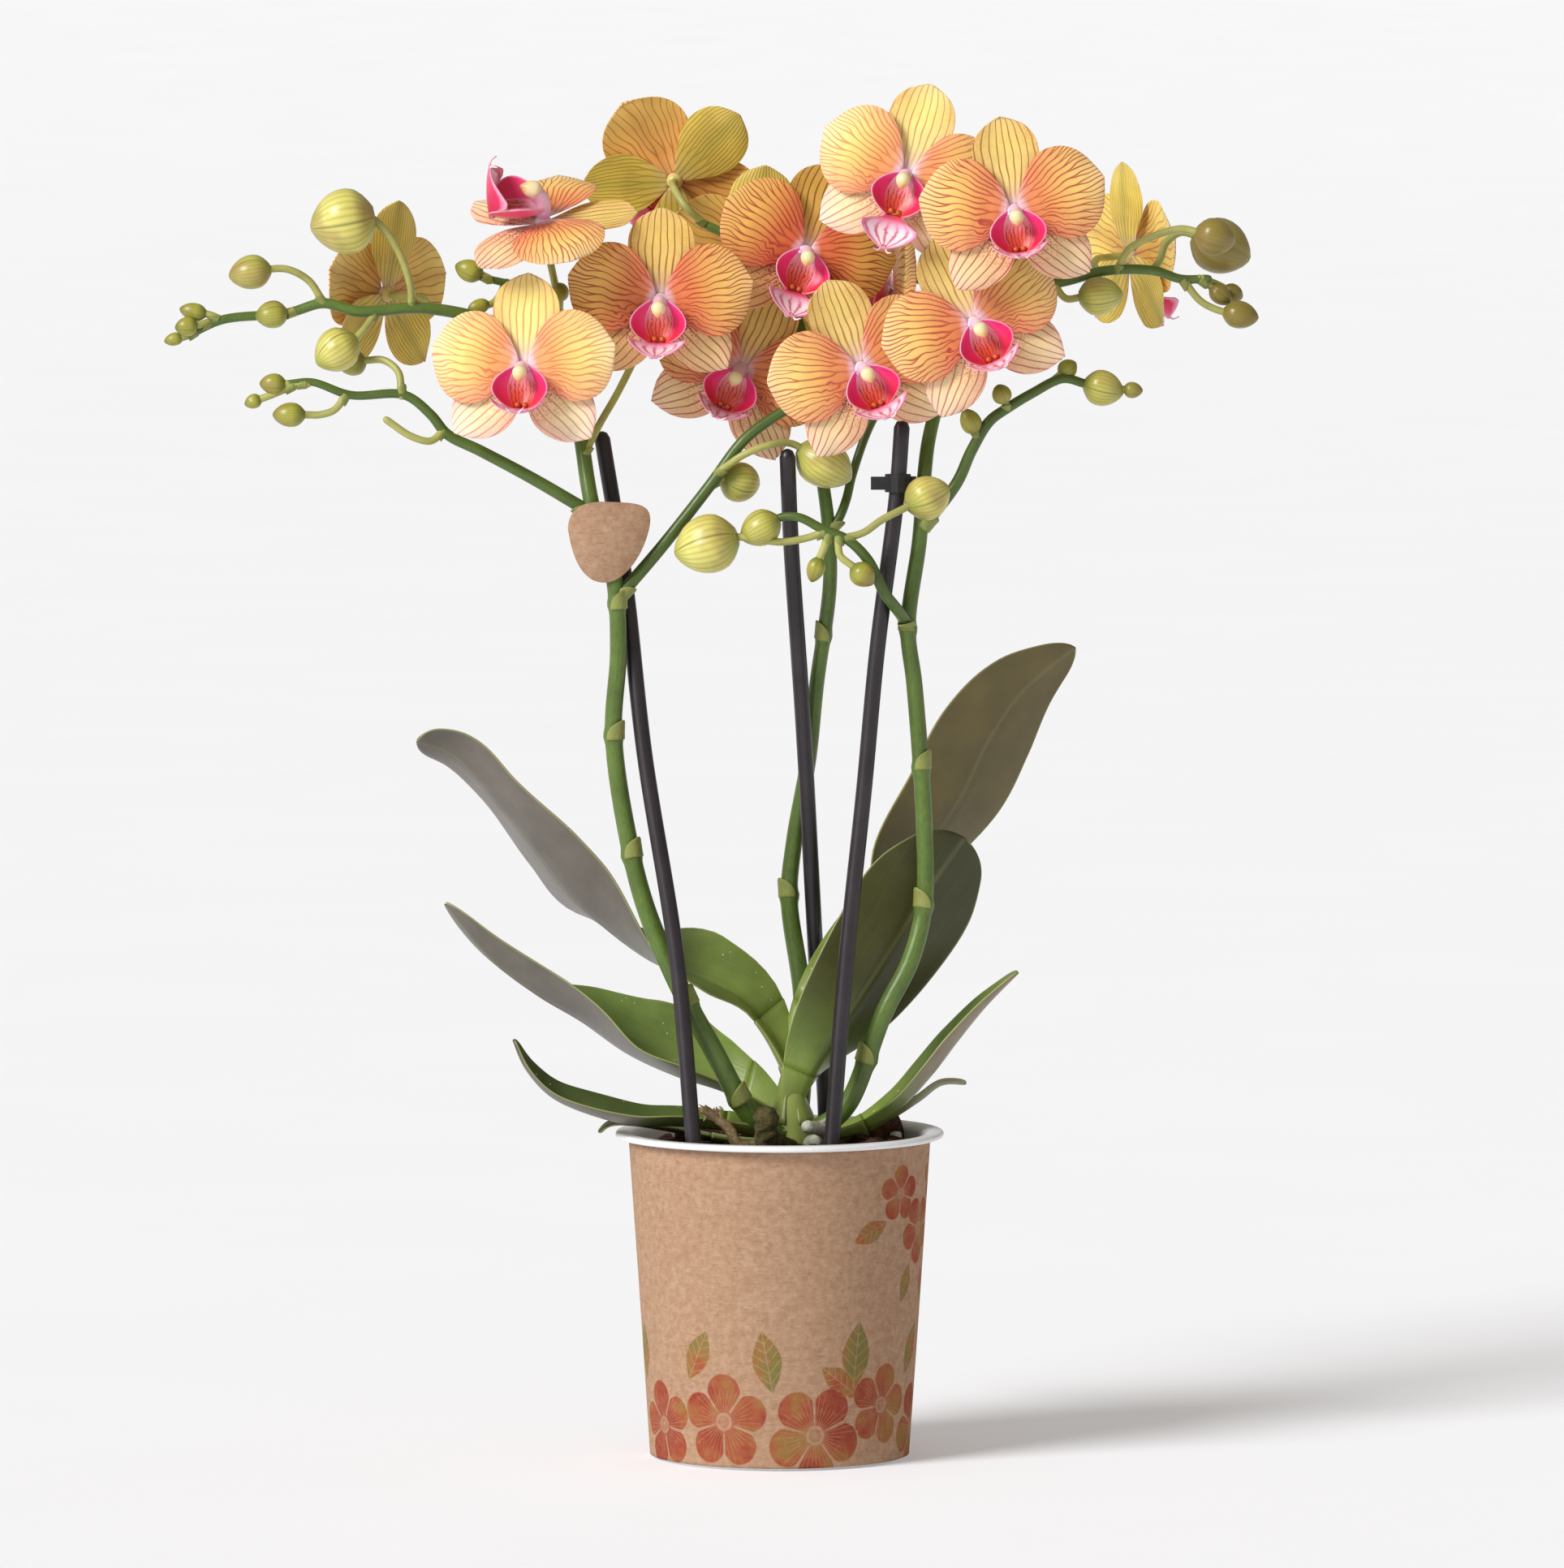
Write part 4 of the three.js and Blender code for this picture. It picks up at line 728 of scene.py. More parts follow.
# Each leaf's sheath is the share of it that clasps the stem. Its stations run from the crown to
# the tip: a place on the rib, half the width, and the blade's turn and fold in degrees.
LEAVES = [
    dict(sheath=0.1, stations=[
        [2, 3, 118, 6, 60, 40], [-9, 10, 138, 12, 55, 30], [-23, 18, 146, 18, 62, 24],
        [-40.5, 23, 152, 21, 84, 18], [-61, 25, 168, 23, 114, 14], [-74, 26, 184, 22, 116, 12],
        [-89, 26, 202.5, 17, 114, 10], [-100.5, 24, 215, 11, 128, 12],
        [-112, 21, 220, 5, 140, 8]]),
    dict(sheath=0.15, stations=[
        [1, 0, 104, 6, 62, 45], [-9, 4, 109, 12, 62, 42], [-19, 8, 113, 17, 64, 40],
        [-32, 10, 117, 23, 66, 38], [-47, 10, 124, 22, 68, 36], [-61, 9, 134, 17, 85, 34],
        [-75, 8, 142.5, 13, 106, 30], [-89, 7, 153.5, 10, 118, 22],
        [-103, 6, 170.5, 3, 122, 10]]),
    dict(sheath=0.16, stations=[
        [1.5, -2, 99, 5, 80, 40], [-15, -10, 102, 7, 80, 38], [-31, -15, 104, 8, 80, 36],
        [-44, -17, 104.5, 8.5, 79, 34], [-57, -18, 107.5, 8.5, 78, 32],
        [-69.5, -18, 113, 7, 78, 30], [-77.5, -18, 121.5, 4.5, 78, 25],
        [-81.5, -18, 130.5, 1.5, 80, 20]]),
    dict(sheath=0.12, stations=[
        [4, 4, 118, 5, 60, 40], [12, 10, 142, 8, 60, 30], [25.5, 20, 162.5, 11.5, 75, 22],
        [40.5, 29, 179.5, 18, 125, 16], [55.5, 35, 200.5, 19, 145, 12],
        [65, 37, 219.5, 18, 150, 10], [76, 38, 235, 13.5, 148, 10],
        [91.5, 37, 248, 4, 142, 5]]),
    dict(sheath=0.14, stations=[
        [5, -1, 106, 6, 110, 40], [12.5, -2, 123, 12, 142, 30], [22, 0, 138, 16.5, 157, 20],
        [35, 4, 158, 19, 163, 14], [46, 8, 175, 18, 166, 12], [57, 10, 190.5, 9, 166, 8]]),
    dict(sheath=0.2, stations=[
        [8, 0, 97, 4, 84, 40], [24, 4, 100, 6, 84, 36], [37, 5, 107.5, 8, 83, 36],
        [47, 6, 118, 8.5, 82, 36], [55, 6, 128.5, 8, 82, 34], [63.5, 6, 139, 6, 82, 30],
        [73.5, 4, 149.5, 2, 84, 20]]),
    dict(sheath=0.3, stations=[
        [5, 4, 96, 3, 90, 30], [20, 12, 96, 4, 90, 30], [34, 14, 103, 4.5, 92, 25],
        [43, 16, 108.5, 5, 95, 20], [50, 17, 113.5, 5, 100, 10], [57.5, 17, 114, 3, 110, 5]]),
    dict(sheath=0.25, stations=[
        [-1, 3, 96, 3, 90, 20], [-17, 4, 97, 4, 90, 20], [-34, -1, 101, 5, 88, 15],
        [-46, -6, 103.4, 4.5, 86, 10], [-52.5, -8, 103.4, 3, 84, 5],
        [-55.5, -8.5, 101.3, 1.5, 84, 0]]),
]

# The middle of each bloom, the way it faces as degrees to the right and up, and how far its top
# leans to the right.
BLOOMS = [
    dict(at=[-78, -20, 336.5], face=[-8, 3], lean=0),
    dict(at=[-36.5, -10, 357], face=[-3, -5], lean=2),
    dict(at=[-72.3, -8.5, 381], face=[-15, 62], lean=0),
    dict(at=[-32.5, 33, 393], face=[176, 6], lean=42),
    dict(at=[-122, 31, 358], face=[-127, 6], lean=6),
    dict(at=[7.5, 0, 371.5], face=[10, 0], lean=19),
    dict(at=[38.5, -16, 395], face=[-3, 3], lean=16),
    dict(at=[71.5, -29, 384.5], face=[2, 0], lean=-7),
    dict(at=[59.5, -19, 350], face=[8, 0], lean=-25),
    dict(at=[25, -10, 336], face=[10, 0], lean=-22),
    dict(at=[-12, 8, 335], face=[-6, -4], lean=24),
    dict(at=[108.5, 38, 370], face=[118, 5], lean=7),
    dict(at=[-7.5, 25, 369], face=[172, 0], lean=5),
    dict(at=[36, 28, 362], face=[-78, 0], lean=10),
]

# path is a stem's route, wide its radius at its foot and its end, bud the middle, length and width
# of the bud that it ends in, and bloom the number of the bloom that it carries. A stem without wide
# is a flower stalk.
SPIKES = {
    "left": [
        dict(path=[[1, -3, 99], [-8.5, -11.5, 106], [-21, -15.5, 128.5], [-29.5, -15, 144],
            [-41, -12, 170.5], [-47.5, -9, 197], [-51, -8, 224.5], [-49.5, -8, 250],
            [-51, -8, 272.5], [-57.5, -7, 294], [-61, 0, 314.5], [-63.5, 5, 327], [-70, 7, 338],
            [-82, 6, 347.5], [-97, 4, 352.5], [-111, 2, 354.5], [-129.5, 0, 353.5], [-140, 0, 356],
            [-151, 0, 353], [-171, -2, 351], [-181, -2, 346.5]], wide=(3.3, 1.3)),
        dict(path=[[-58, -7, 292], [-76, -6, 302.5], [-92, -6, 311], [-102, -6, 316],
            [-107, -6, 322], [-115, -6, 328], [-131.5, -6, 328], [-143.5, -6, 332],
            [-151, -6, 331.5]], wide=(2, 1.1)),
        dict(path=[[-49.5, -8, 266], [-36.5, -6, 281], [-21.5, -4, 300], [-11, -4, 314],
            [-2, -3, 321], [9, -2, 327], [17, -0.5, 332]], wide=(2, 1.3), bloom=10),
        dict(path=[[-61.5, 2, 318], [-65, 9, 336.5], [-67, 12, 349], [-72, 11, 359],
            [-82, 8, 361.5], [-92.5, 5, 364]], wide=(2, 1.1)),
        dict(path=[[-113, 2, 354.5], [-113.5, 0, 362], [-117, -2, 372], [-122, -3, 379.5],
            [-126, -3, 382.5]], bud=[-134, -3, 381, 20, 20]),
        dict(path=[[-140, 0, 356], [-144.5, -2, 363], [-151, -3, 366.5], [-157, -4, 366.5]],
            bud=[-162.5, -4, 365.5, 13, 10.5]),
        dict(path=[[-149, 0, 353.5], [-151, -1, 353]], bud=[-156, -2, 352.5, 10, 8.5]),
        dict(path=[[-124, 1, 353.5], [-126.5, -1, 349.5], [-130, -4, 345.5]], bud=[-136, -5, 341.5,
            14.5, 13.5]),
        dict(path=[[-172, -2, 351], [-175, -2, 352.5]], bud=[-180, -2, 353.5, 8.5, 5.5]),
        dict(path=[[-175, -2, 350], [-178, -4, 349.5]], bud=[-182, -5, 349, 7, 6]),
        dict(path=[[-179, -2, 347.5], [-182, -2, 346]], bud=[-186, -2, 345, 6, 4]),
        dict(path=[[-145, -6, 331.5], [-151, -6, 331.5]], bud=[-155.5, -6, 331.5, 8, 6.5]),
        dict(path=[[-149, -6, 331], [-156, -6, 328]], bud=[-161.5, -6, 326, 5.5, 4.5]),
        dict(path=[[-133, -6, 328], [-136.5, -7, 323.5], [-141, -7, 322], [-145.5, -7, 322]],
            bud=[-150.5, -7, 322, 10, 7.5]),
        dict(path=[[-116, -6, 328], [-117, -4, 335], [-121.5, -1, 338.5], [-126, 1, 338.5]],
            bud=[-131.5, 3, 337.5, 9, 8]),
        dict(path=[[-103, -6, 317], [-107, -8, 314], [-113, -9, 315.5], [-120.5, -9, 320.5]]),
        dict(path=[[-68, 11, 352], [-67.5, 5, 357]], bud=[-67.5, 1.5, 359.5, 7.5, 5.5]),
        dict(path=[[-84, 8, 362], [-88, 5.5, 356]], bud=[-92.5, 4, 355, 7, 4.5]),
        dict(path=[[-89, 6, 363], [-91.5, 5, 364.5]], bud=[-95.5, 5, 366, 9, 7]),
        dict(path=[[-65, 6, 330], [-72, 6, 334]], bloom=1),
        dict(path=[[-60, -3, 309.5], [-55.5, 1, 318.5], [-50, 7, 328], [-43, 10, 342]], bloom=2),
        dict(path=[[-66.8, 12, 348], [-68, 9, 356]], bloom=3),
        dict(path=[[-108, 2.5, 354.2], [-109, 12, 356], [-111, 20, 357.5]], bloom=5),
        dict(path=[[-21.5, -4, 300], [-18, -1, 302]], bud=[-12, 3, 301, 13, 12.5]),
        dict(path=[[-19, -4.5, 304], [-11.5, -8, 309.5], [-4, -7, 312.5], [3.5, -2, 313]], bud=[14,
            1, 306.5, 19, 15]),
    ],
    "middle": [
        dict(path=[[5.5, 4, 100], [7, 13, 116], [7, 21, 140.5], [3, 26, 170.5], [4.5, 27, 188],
            [9, 22.5, 214.5], [11.5, 16, 238], [15.5, 9, 269], [15, 8, 287.5], [12, 10, 310],
            [9.5, 14, 331.5], [5, 15, 352], [-3, 14, 366], [-15, 13, 376], [-23, 14, 380]],
            wide=(3.1, 1.3)),
        dict(path=[[15.2, 8, 285.5], [18, 8, 289], [20.5, 10, 295], [22.5, 12, 303], [29, 16, 320],
            [41, 22, 336], [46, 25, 349]], wide=(1.5, 1.2), bloom=14),
        dict(path=[[10, 14, 329], [4, 16.5, 332]], bloom=11),
        dict(path=[[5, 15, 352], [7, 14, 361]], bloom=6),
        dict(path=[[-23, 14, 380], [-28.5, 12, 385], [-32, 16, 390]], bloom=4),
        dict(path=[[-3, 14, 366], [-6, 13, 367.5]], bloom=13),
    ],
    "right": [
        dict(path=[[6, -1, 100], [14, -3, 103], [21, -5, 109.5], [32, -6, 137.5], [40.5, -5, 154.5],
            [44.5, -3, 171], [44.5, -2, 196.5], [41.5, -2, 238.5], [39.5, -3, 256.5], [43, -1, 283],
            [44.5, 0, 303], [46, 3, 314.5], [50, 5, 329.5], [56, 4, 344.5], [64.5, 2, 356.5],
            [74.5, 0, 361.5], [86, 0, 362.5], [100.5, 0, 366], [115, -1, 366], [123, -1, 363.5],
            [131.5, -1, 363.5]], wide=(3.2, 1.3)),
        dict(path=[[39.8, -3, 257], [36, -11, 262.5], [32, -16, 268], [27, -18, 278],
            [21, -18, 284], [13, -18, 287.5], [6, -18, 291], [0.5, -17, 291]], wide=(1.9, 1.2),
            bud=[-6, -17, 287.5, 13, 11]),
        dict(path=[[14, -18, 286.5], [7.5, -18, 284.5], [0.5, -18.5, 283.5], [-8, -19, 284.5],
            [-14, -18, 285]], bud=[-22.5, -17, 282.5, 20, 18]),
        dict(path=[[20, -18, 284.5], [26, -18, 286.5], [31, -17, 290], [39, -14, 294]], bud=[45.5,
            -12, 297, 14.5, 13.5]),
        dict(path=[[15, -18, 286], [13.5, -18, 281.5], [12, -18, 278]], bud=[11, -18, 275, 8, 5.5]),

        dict(path=[[18, -18, 285], [18.5, -20, 279.5], [22, -21, 276.5]], bud=[25.5, -21, 273.5,
            8.5, 7.5]),
        dict(path=[[44, -1, 287], [54.5, -3, 301], [59, -4, 311], [64.5, -5, 320], [70, -5, 324],
            [77.5, -5, 328.5], [87, -4, 333], [93.5, -4, 331.5]], wide=(1.9, 1.3), bud=[99.5, -4,
            330, 12.5, 11]),
        dict(path=[[99.5, -4, 330], [104, -4, 329.8]], bud=[108.5, -4, 329.5, 6, 5]),
        dict(path=[[84, -4, 332], [86, -3, 334]], bud=[88.5, -2, 336, 6.5, 6]),
        dict(path=[[70, -5, 324], [69, -7, 326]], bud=[68, -8.5, 328.5, 6.5, 6]),
        dict(path=[[61, -4.5, 315], [60, -5, 317]], bud=[58.5, -6, 320, 8.5, 6.5]),
        dict(path=[[84, 0, 362], [88, -3, 357.5], [92.5, -5, 358]], bud=[98.5, -5, 358.5, 13.5,
            12]),
        dict(path=[[103.5, 0, 366], [107, -4, 372.5], [114, -7, 376.5], [123, -8, 379],
            [128, -8, 378]], bud=[133.5, -8, 376.5, 12.5, 11.5]),
        dict(path=[[114.5, -1, 366], [117, 4, 369.5], [119, 8, 374.5], [123.5, 9, 377.5],
            [128, 9, 376.5]], bud=[136, 9, 373, 19, 17]),
        dict(path=[[129, -1, 363.5], [132, 0, 361.5]], bud=[135.5, 0, 358.5, 8, 6]),
        dict(path=[[130, -1, 363.5], [135, 3, 361.5]], bud=[139.5, 5, 359, 7, 5.5]),
        dict(path=[[124, -1, 363], [129.5, -3, 356.5], [136, -4, 353.5]], bud=[141.5, -4, 352.5, 11,
            8.5]),
        dict(path=[[49, 5, 327], [49, 12, 342], [47, 14, 358], [45, 11, 374], [42, 3, 388]],
            wide=(1.9, 1.2), bloom=7),
        dict(path=[[56, 4, 344.5], [57.5, 0, 347]], bloom=9),
        dict(path=[[74.5, 0, 361.5], [74, -5, 370], [72.5, -13, 379]], bloom=8),
        dict(path=[[98, 0, 365.5], [97, 12, 367.5], [98, 22, 369]], bloom=12),
    ],
}


# Blooms. Each is built about its own middle: +X to its right, +Y up its dorsal sepal and +Z
# out of its face.

# How dark the orange of each bloom is, how far the tip of its lip hangs down, and how far it is
# rolled about its own axis, both in degrees
LOOKS = [(0.0, 2, 0), (0.6, 12, 0), (0.35, -12, -72), (0.65, 40, 0), (0.1, 40, 0), (0.8, 36, 0),
         (0.05, 58, 0), (0.36, 2, 0), (0.28, 4, 0), (0.2, 10, 0), (0.36, 4, 0), (0.0, 40, 0),
         (0.5, 40, 0), (0.4, 50, 0)]
LIP_SIZES = {3: 1.3}  # the lip of the third bloom stands larger than the rest

# A segment is widest at middle and claw wide at its root, as shares, and rise, fall and tip bend
# its outline. level, belly and cup lift it at its root, along its middle and along its margins.
# Its veins fan out from focus millimetres behind the root, fan millimetres apart to begin with;
# without a focus, fan of them run side by side.
PETAL = dict(length=27.8, width=29, middle=0.52, claw=0.14, rise=0.85, fall=2.2, tip=0.55,
             level=1.1, belly=1.6, cup=-1.8, focus=1.5, fan=0.52, finish="petal", rear="petal_back")
DORSAL = dict(length=27.6, width=21, middle=0.57, claw=0.2, rise=1.1, fall=2.3, tip=0.5,
              level=-0.4, belly=-0.6, cup=1.4, focus=None, fan=9.0, finish="dorsal",
              rear="sepal_back")
LATERAL = dict(length=28.3, width=19.5, middle=0.52, claw=0.2, rise=1.0, fall=2.0, tip=0.6,
               level=-0.3, belly=0.4, cup=-1.2, focus=None, fan=8.0, finish="lateral",
               rear="sepal_back")
SEGMENTS = [(DORSAL, 90), (LATERAL, -44), (LATERAL, -136), (PETAL, 14), (PETAL, 166)]
ROOT_RADIUS = 1.9
PETAL_THICKNESS = 0.55
SEGMENT_ROWS = 26
SEGMENT_COLUMNS = 18
HUB_BACK = 2.0
HUB_WIDTH = 5.2
LIP_THICKNESS = 0.7


def bloom_frame(at, face, lean):
    """The turn and the move that take a bloom from its own axes to its place on the plant."""
    right, up, tilt = (math.radians(a) for a in (*face, lean))
    ahead = Vector((math.sin(right) * math.cos(up), -math.cos(right) * math.cos(up), math.sin(up)))
    top = Vector((math.sin(tilt), 0, math.cos(tilt)))
    top = (top - ahead * top.dot(ahead)).normalized()
    side = top.cross(ahead)
    return Matrix((side, top, ahead)).transposed().to_4x4(), Vector(at)


def outline(shape, u):
    """Half the width of a petal or sepal at u, as a share of its widest."""
    middle = shape["middle"]
    if u < middle:
        widening = math.sin(math.pi / 2 * u / middle) ** shape["rise"]
        return shape["claw"] + (1 - shape["claw"]) * widening
    past = (u - middle) / (1 - middle)
    return max(1 - past ** shape["fall"], 0) ** shape["tip"]


def segment(skin, shape, way, tone, draw):
    """One petal or sepal, with its margin gently waved."""
    turn = math.radians(way - 90 + draw.uniform(-2.5, 2.5))
    length = shape["length"] * draw.uniform(0.965, 1.0)
    curl = draw.uniform(-0.9, 0.9)
    phase = draw.uniform(0, TURN)
    half = shape["width"] / 2 * draw.uniform(0.97, 1.0)

    def flat(u, v):
        wide = max(outline(shape, u), 0.025)
        return v * wide * half, ROOT_RADIUS + length * u * (1 - 0.035 * v * v * u), wide

    def place(u, v):
        across, out, wide = flat(u, v)
        wave = 0.4 * abs(v) ** 3 * u * math.sin(phase + 9 * u + 2.2 * v) * wide
        bumps = 0.5 * noise.noise(Vector((3 * u, 1.5 * v * wide, phase * 9)))
        wave += (bumps + curl * v * wide) * u
        height = (shape["level"] + shape["belly"] * math.sin(math.pi * u)
                  + shape["cup"] * v * v * wide * u - 0.9 * u * u + wave)
        return Vector((across * math.cos(turn) - out * math.sin(turn),
                       across * math.sin(turn) + out * math.cos(turn), height))

    def values(u, v):
        across, out, wide = flat(u, v)
        reach = math.hypot(across, out)
        if shape["focus"] is None:
            narrow = half * (0.42 + 0.58 * wide)
            number = across / narrow * shape["fan"] / 2
            spacing = 2 * narrow / shape["fan"]
        else:
            spacing = shape["fan"] * (out + shape["focus"]) ** 0.7
            number = across / spacing
        return (number + 20 + phase, reach, spacing), (u, v if way < 90 else -v, tone)

    rows = [math.sin(math.pi / 2 * i / SEGMENT_ROWS) ** 1.15 for i in range(SEGMENT_ROWS + 1)]
    blade(skin, place, (shape["rear"], shape["finish"]), rows, SEGMENT_COLUMNS, PETAL_THICKNESS,
          values)


def pose(skin, number, at, face, lean):
    """Moves a finished skin from its bloom's own axes to the bloom's place on the plant."""
    turned, move = bloom_frame(at, face, lean)
    turned = turned @ Matrix.Rotation(math.radians(LOOKS[number - 1][2]), 4, "Z")
    skin.points = [turned @ p + move for p in skin.points]


def petals(number, at, face, lean):
    """Three sepals and two petals, each a little unlike its neighbours, round a small hub."""
    tone = LOOKS[number - 1][0]
    draw = random.Random(100 + number)
    skin = Skin(petal=PETAL_FACE, dorsal=DORSAL_FACE, lateral=LATERAL_FACE, petal_back=PETAL_BACK,
                sepal_back=SEPAL_BACK, heart=HEART)
    for shape, way in SEGMENTS:
        segment(skin, shape, way, min(max(tone + draw.uniform(-0.08, 0.08), 0), 1), draw)
    egg(skin, "heart", Vector((0, 0, 0.1)), UP, 2 * HUB_BACK + 0.8, HUB_WIDTH,
        lambda t: math.sqrt(max(1 - (2 * t - 1) ** 2, 0)) ** 0.8, rings=10, sides=16)
    pose(skin, number, at, face, lean)
    name = f"bloom_{number:02d}_petals"
    skin.piece(f"{name}_veined", name, slot="petals")


def side_lobe(skin, side):
    """An ear beside the column: it opens forwards and outwards and closes on the callus."""
    def place(u, v):
        opening = math.sin(math.pi * min(max(u, 0.0), 1.0)) ** 0.62
        out = (v + 1) / 2
        spread = opening * (5.4 * out - 0.9 * out ** 3)
        return Vector((side * (2.2 + 1.9 * math.sin(math.pi * u) + spread),
                       0.4 - 12.4 * u + 0.8 * out * (0.4 - u),
                       4.2 + 1.3 * u + opening * (4.2 * out ** 1.5)))
    kinds = ("ear", "lobe") if side < 0 else ("lobe", "ear")
    rows = [0.5 - 0.5 * math.cos(math.pi * (0.03 + 0.94 * i / 18)) for i in range(19)]
    blade(skin, place, kinds, rows, 12, LIP_THICKNESS, lambda u, v: ((0, 0, 0), (u, v, 0)))


def throat(skin):
    """The wall between the ears, curved in like a spoon."""
    def place(u, v):
        wide = 2.6 + 1.9 * math.sin(math.pi * u)
        return Vector((v * wide, -0.6 - 11.2 * u, 3.0 + 1.6 * v * v + 1.2 * u * u))
    rows = [i / 14 for i in range(15)]
    blade(skin, place, ("throat", "throat"), rows, 10, 0.8, lambda u, v: ((0, 0, 0), (u, v, 0)))


def middle_lobe(skin, hang):
    """The pointed middle lobe: a boat with lifted wings, and two short curls at its tip."""
    drop = math.radians(hang)
    out = Vector((0, -math.sin(drop), math.cos(drop)))
    lift = Vector((0, math.cos(drop), math.sin(drop)))
    start = Vector((0, -12.2, 4.2))
    half_widths = [(0, 2.6), (0.1, 3.4), (0.22, 6.4), (0.36, 8.6), (0.48, 8.9), (0.62, 7.0),
                   (0.78, 4.2), (0.9, 2.0), (1, 0.8)]

    def place(u, v):
        wide = through(half_widths, u)
        rise = 0.055 * (v * wide) ** 2 + u * (1 - u) * (1 - abs(v)) - math.sin(math.pi * u)
        bend = out * (12.5 * u + 1.6 * v * v * math.sin(math.pi * u)) + lift * (rise - 0.8 * u * u)
        return start + Vector((v * wide, 0, 0)) + bend
    rows = [i / 22 for i in range(23)]
    blade(skin, place, ("tongue", "under"), rows, 14, LIP_THICKNESS,
          lambda u, v: ((0, 0, 0), (u, v, 0)))
    for side in (-1, 1):
        tip = place(0.98, side * 0.4)
        curl = [tip - out, tip + Vector((side * 1.0, 0, 0)) + out * 1.0, tip
                + Vector((side * 2.4, 0, 0)) + out * 1.6 + lift * 1.4]
        tube(skin, "tongue", route(curl, 0.5), lambda s, _: 0.42 - 0.25 * s, sides=7)


CAP_PROFILE = [(0, 0.35), (0.12, 0.72), (0.3, 0.97), (0.45, 1), (0.65, 0.84), (0.82, 0.55),
               (0.94, 0.28), (1, 0.12)]


def column_part(skin):
    """The column over the lip: a hooded stump with a beaked cap, its wings a little wider."""
    path = route([[0, 0.3, HUB_BACK + 0.1], [0, 0.6, 4.0], [0, 0.2, 6.4], [0, -1.0, 8.3]], 0.4)
    tube(skin, "column", path, lambda s, _: 1.75 + 0.35 * s * s, sides=20)
    egg(skin, "cap", Vector((0, -1.7, 9.2)), Vector((0, -0.86, 0.5)), 5.6, 4.5,
        lambda t: through(CAP_PROFILE, t), rings=16, sides=18)


def lip(number, at, face, lean):
    """Two ears, the throat with its callus, the middle lobe, and the column over them."""
    skin = Skin(lobe=LOBE_INSIDE, ear=LOBE_OUTSIDE, throat=THROAT, callus=CALLUS, tongue=TONGUE,
                under=TONGUE_UNDER, column=COLUMN, cap=CAP)
    for side in (-1, 1):
        side_lobe(skin, side)
        egg(skin, "callus", Vector((side * 1.1, -11.2, 4.9)),
            Vector((side * 0.15, 0.1, 1)), 2.6, 1.9,
            lambda t: math.sqrt(max(1 - (2 * t - 1) ** 2, 0)), rings=10, sides=14)
    throat(skin)
    middle_lobe(skin, LOOKS[number - 1][1])
    column_part(skin)
    skin.points = [p * LIP_SIZES.get(number, 1) for p in skin.points]
    pose(skin, number, at, face, lean)
    name = f"bloom_{number:02d}_lip"
    skin.piece(f"{name}_waxy", name, slot="lip")


# Spikes: the same routes as the model's, with a joint and a small bract where each part begins

STALK_STRAIGHT = 8
STALK_RADIUS = 1.15
BRACT_THICKNESS = 0.35
MAIN_STEM = 3  # a stem whose foot is thicker than this is a main one
JOINTS = {"left": [112, 141.5, 186.8, 223.5, 264], "middle": [171.5, 253],
          "right": [123.5, 170.8, 213, 256]}


def behind_bloom(number):
    """The last two points of a flower stalk, straight up to the back of its bloom."""
    turned, move = bloom_frame(**BLOOMS[number - 1])
    return [turned @ Vector((0, 0, -back)) + move for back in (STALK_STRAIGHT, HUB_BACK + 0.1)]


def bract(skin, at, ahead, toward, radius, length):
    """A pointed scale that clasps a stem at a joint."""
    ahead = ahead.normalized()
    toward = (toward - ahead * toward.dot(ahead)).normalized()
    across = ahead.cross(toward)

    def place(u, v):
        spread = math.radians(100) * max(1 - u * u, 0.02) ** 0.6
        grow = radius + 0.2 + 0.45 * u * u * length / 7
        angle = v * spread
        aside = toward * math.cos(angle) + across * math.sin(angle)
        return at + ahead * (u * length) + aside * grow
    blade(skin, place, ("bract", "bract"), [i / 8 for i in range(9)], 8, BRACT_THICKNESS,
          lambda u, v: ((v, u * length, 0), (u, v, 0.2)))


def bud(skin, stalk_end, x, y, z, length, width):
    """Three sepals closed edge to edge: full at the shoulder, drawn to a blunt point."""
    middle = Vector((x, y, z))
    axis = (middle - stalk_end).normalized()
    roll = random.Random(round(10 * (x + 2 * y + 3 * z))).uniform(0, TURN)
    keys = [(0, 0.3), (0.06, 0.52), (0.14, 0.74), (0.25, 0.93), (0.38, 1.0), (0.52, 0.99),
            (0.66, 0.9), (0.78, 0.74), (0.88, 0.53), (0.95, 0.33), (1, 0.1)]

    def shape(t, angle):
        corner = abs(math.sin(1.5 * (angle + roll)))
        seam = 0.045 * math.exp(-(corner / 0.12) ** 2)
        return 1 + 0.05 * (corner - 0.5) * math.sin(math.pi * t) - seam
    first = len(skin.points)
    young = smooth(width, 16, 6)  # small buds are still green
    egg(skin, "bud", middle, axis, length, width, lambda t: through(keys, t), rings=22, sides=36,
        tone=young, shape=shape)
    skin.spot[first:] = [(t, angle + roll, tone) for t, angle, tone in skin.spot[first:]]
    brown = 0.85 * smooth(x, 95, 130)
    skin.flow[first:] = [(part, far, brown) for part, far, _ in skin.flow[first:]]


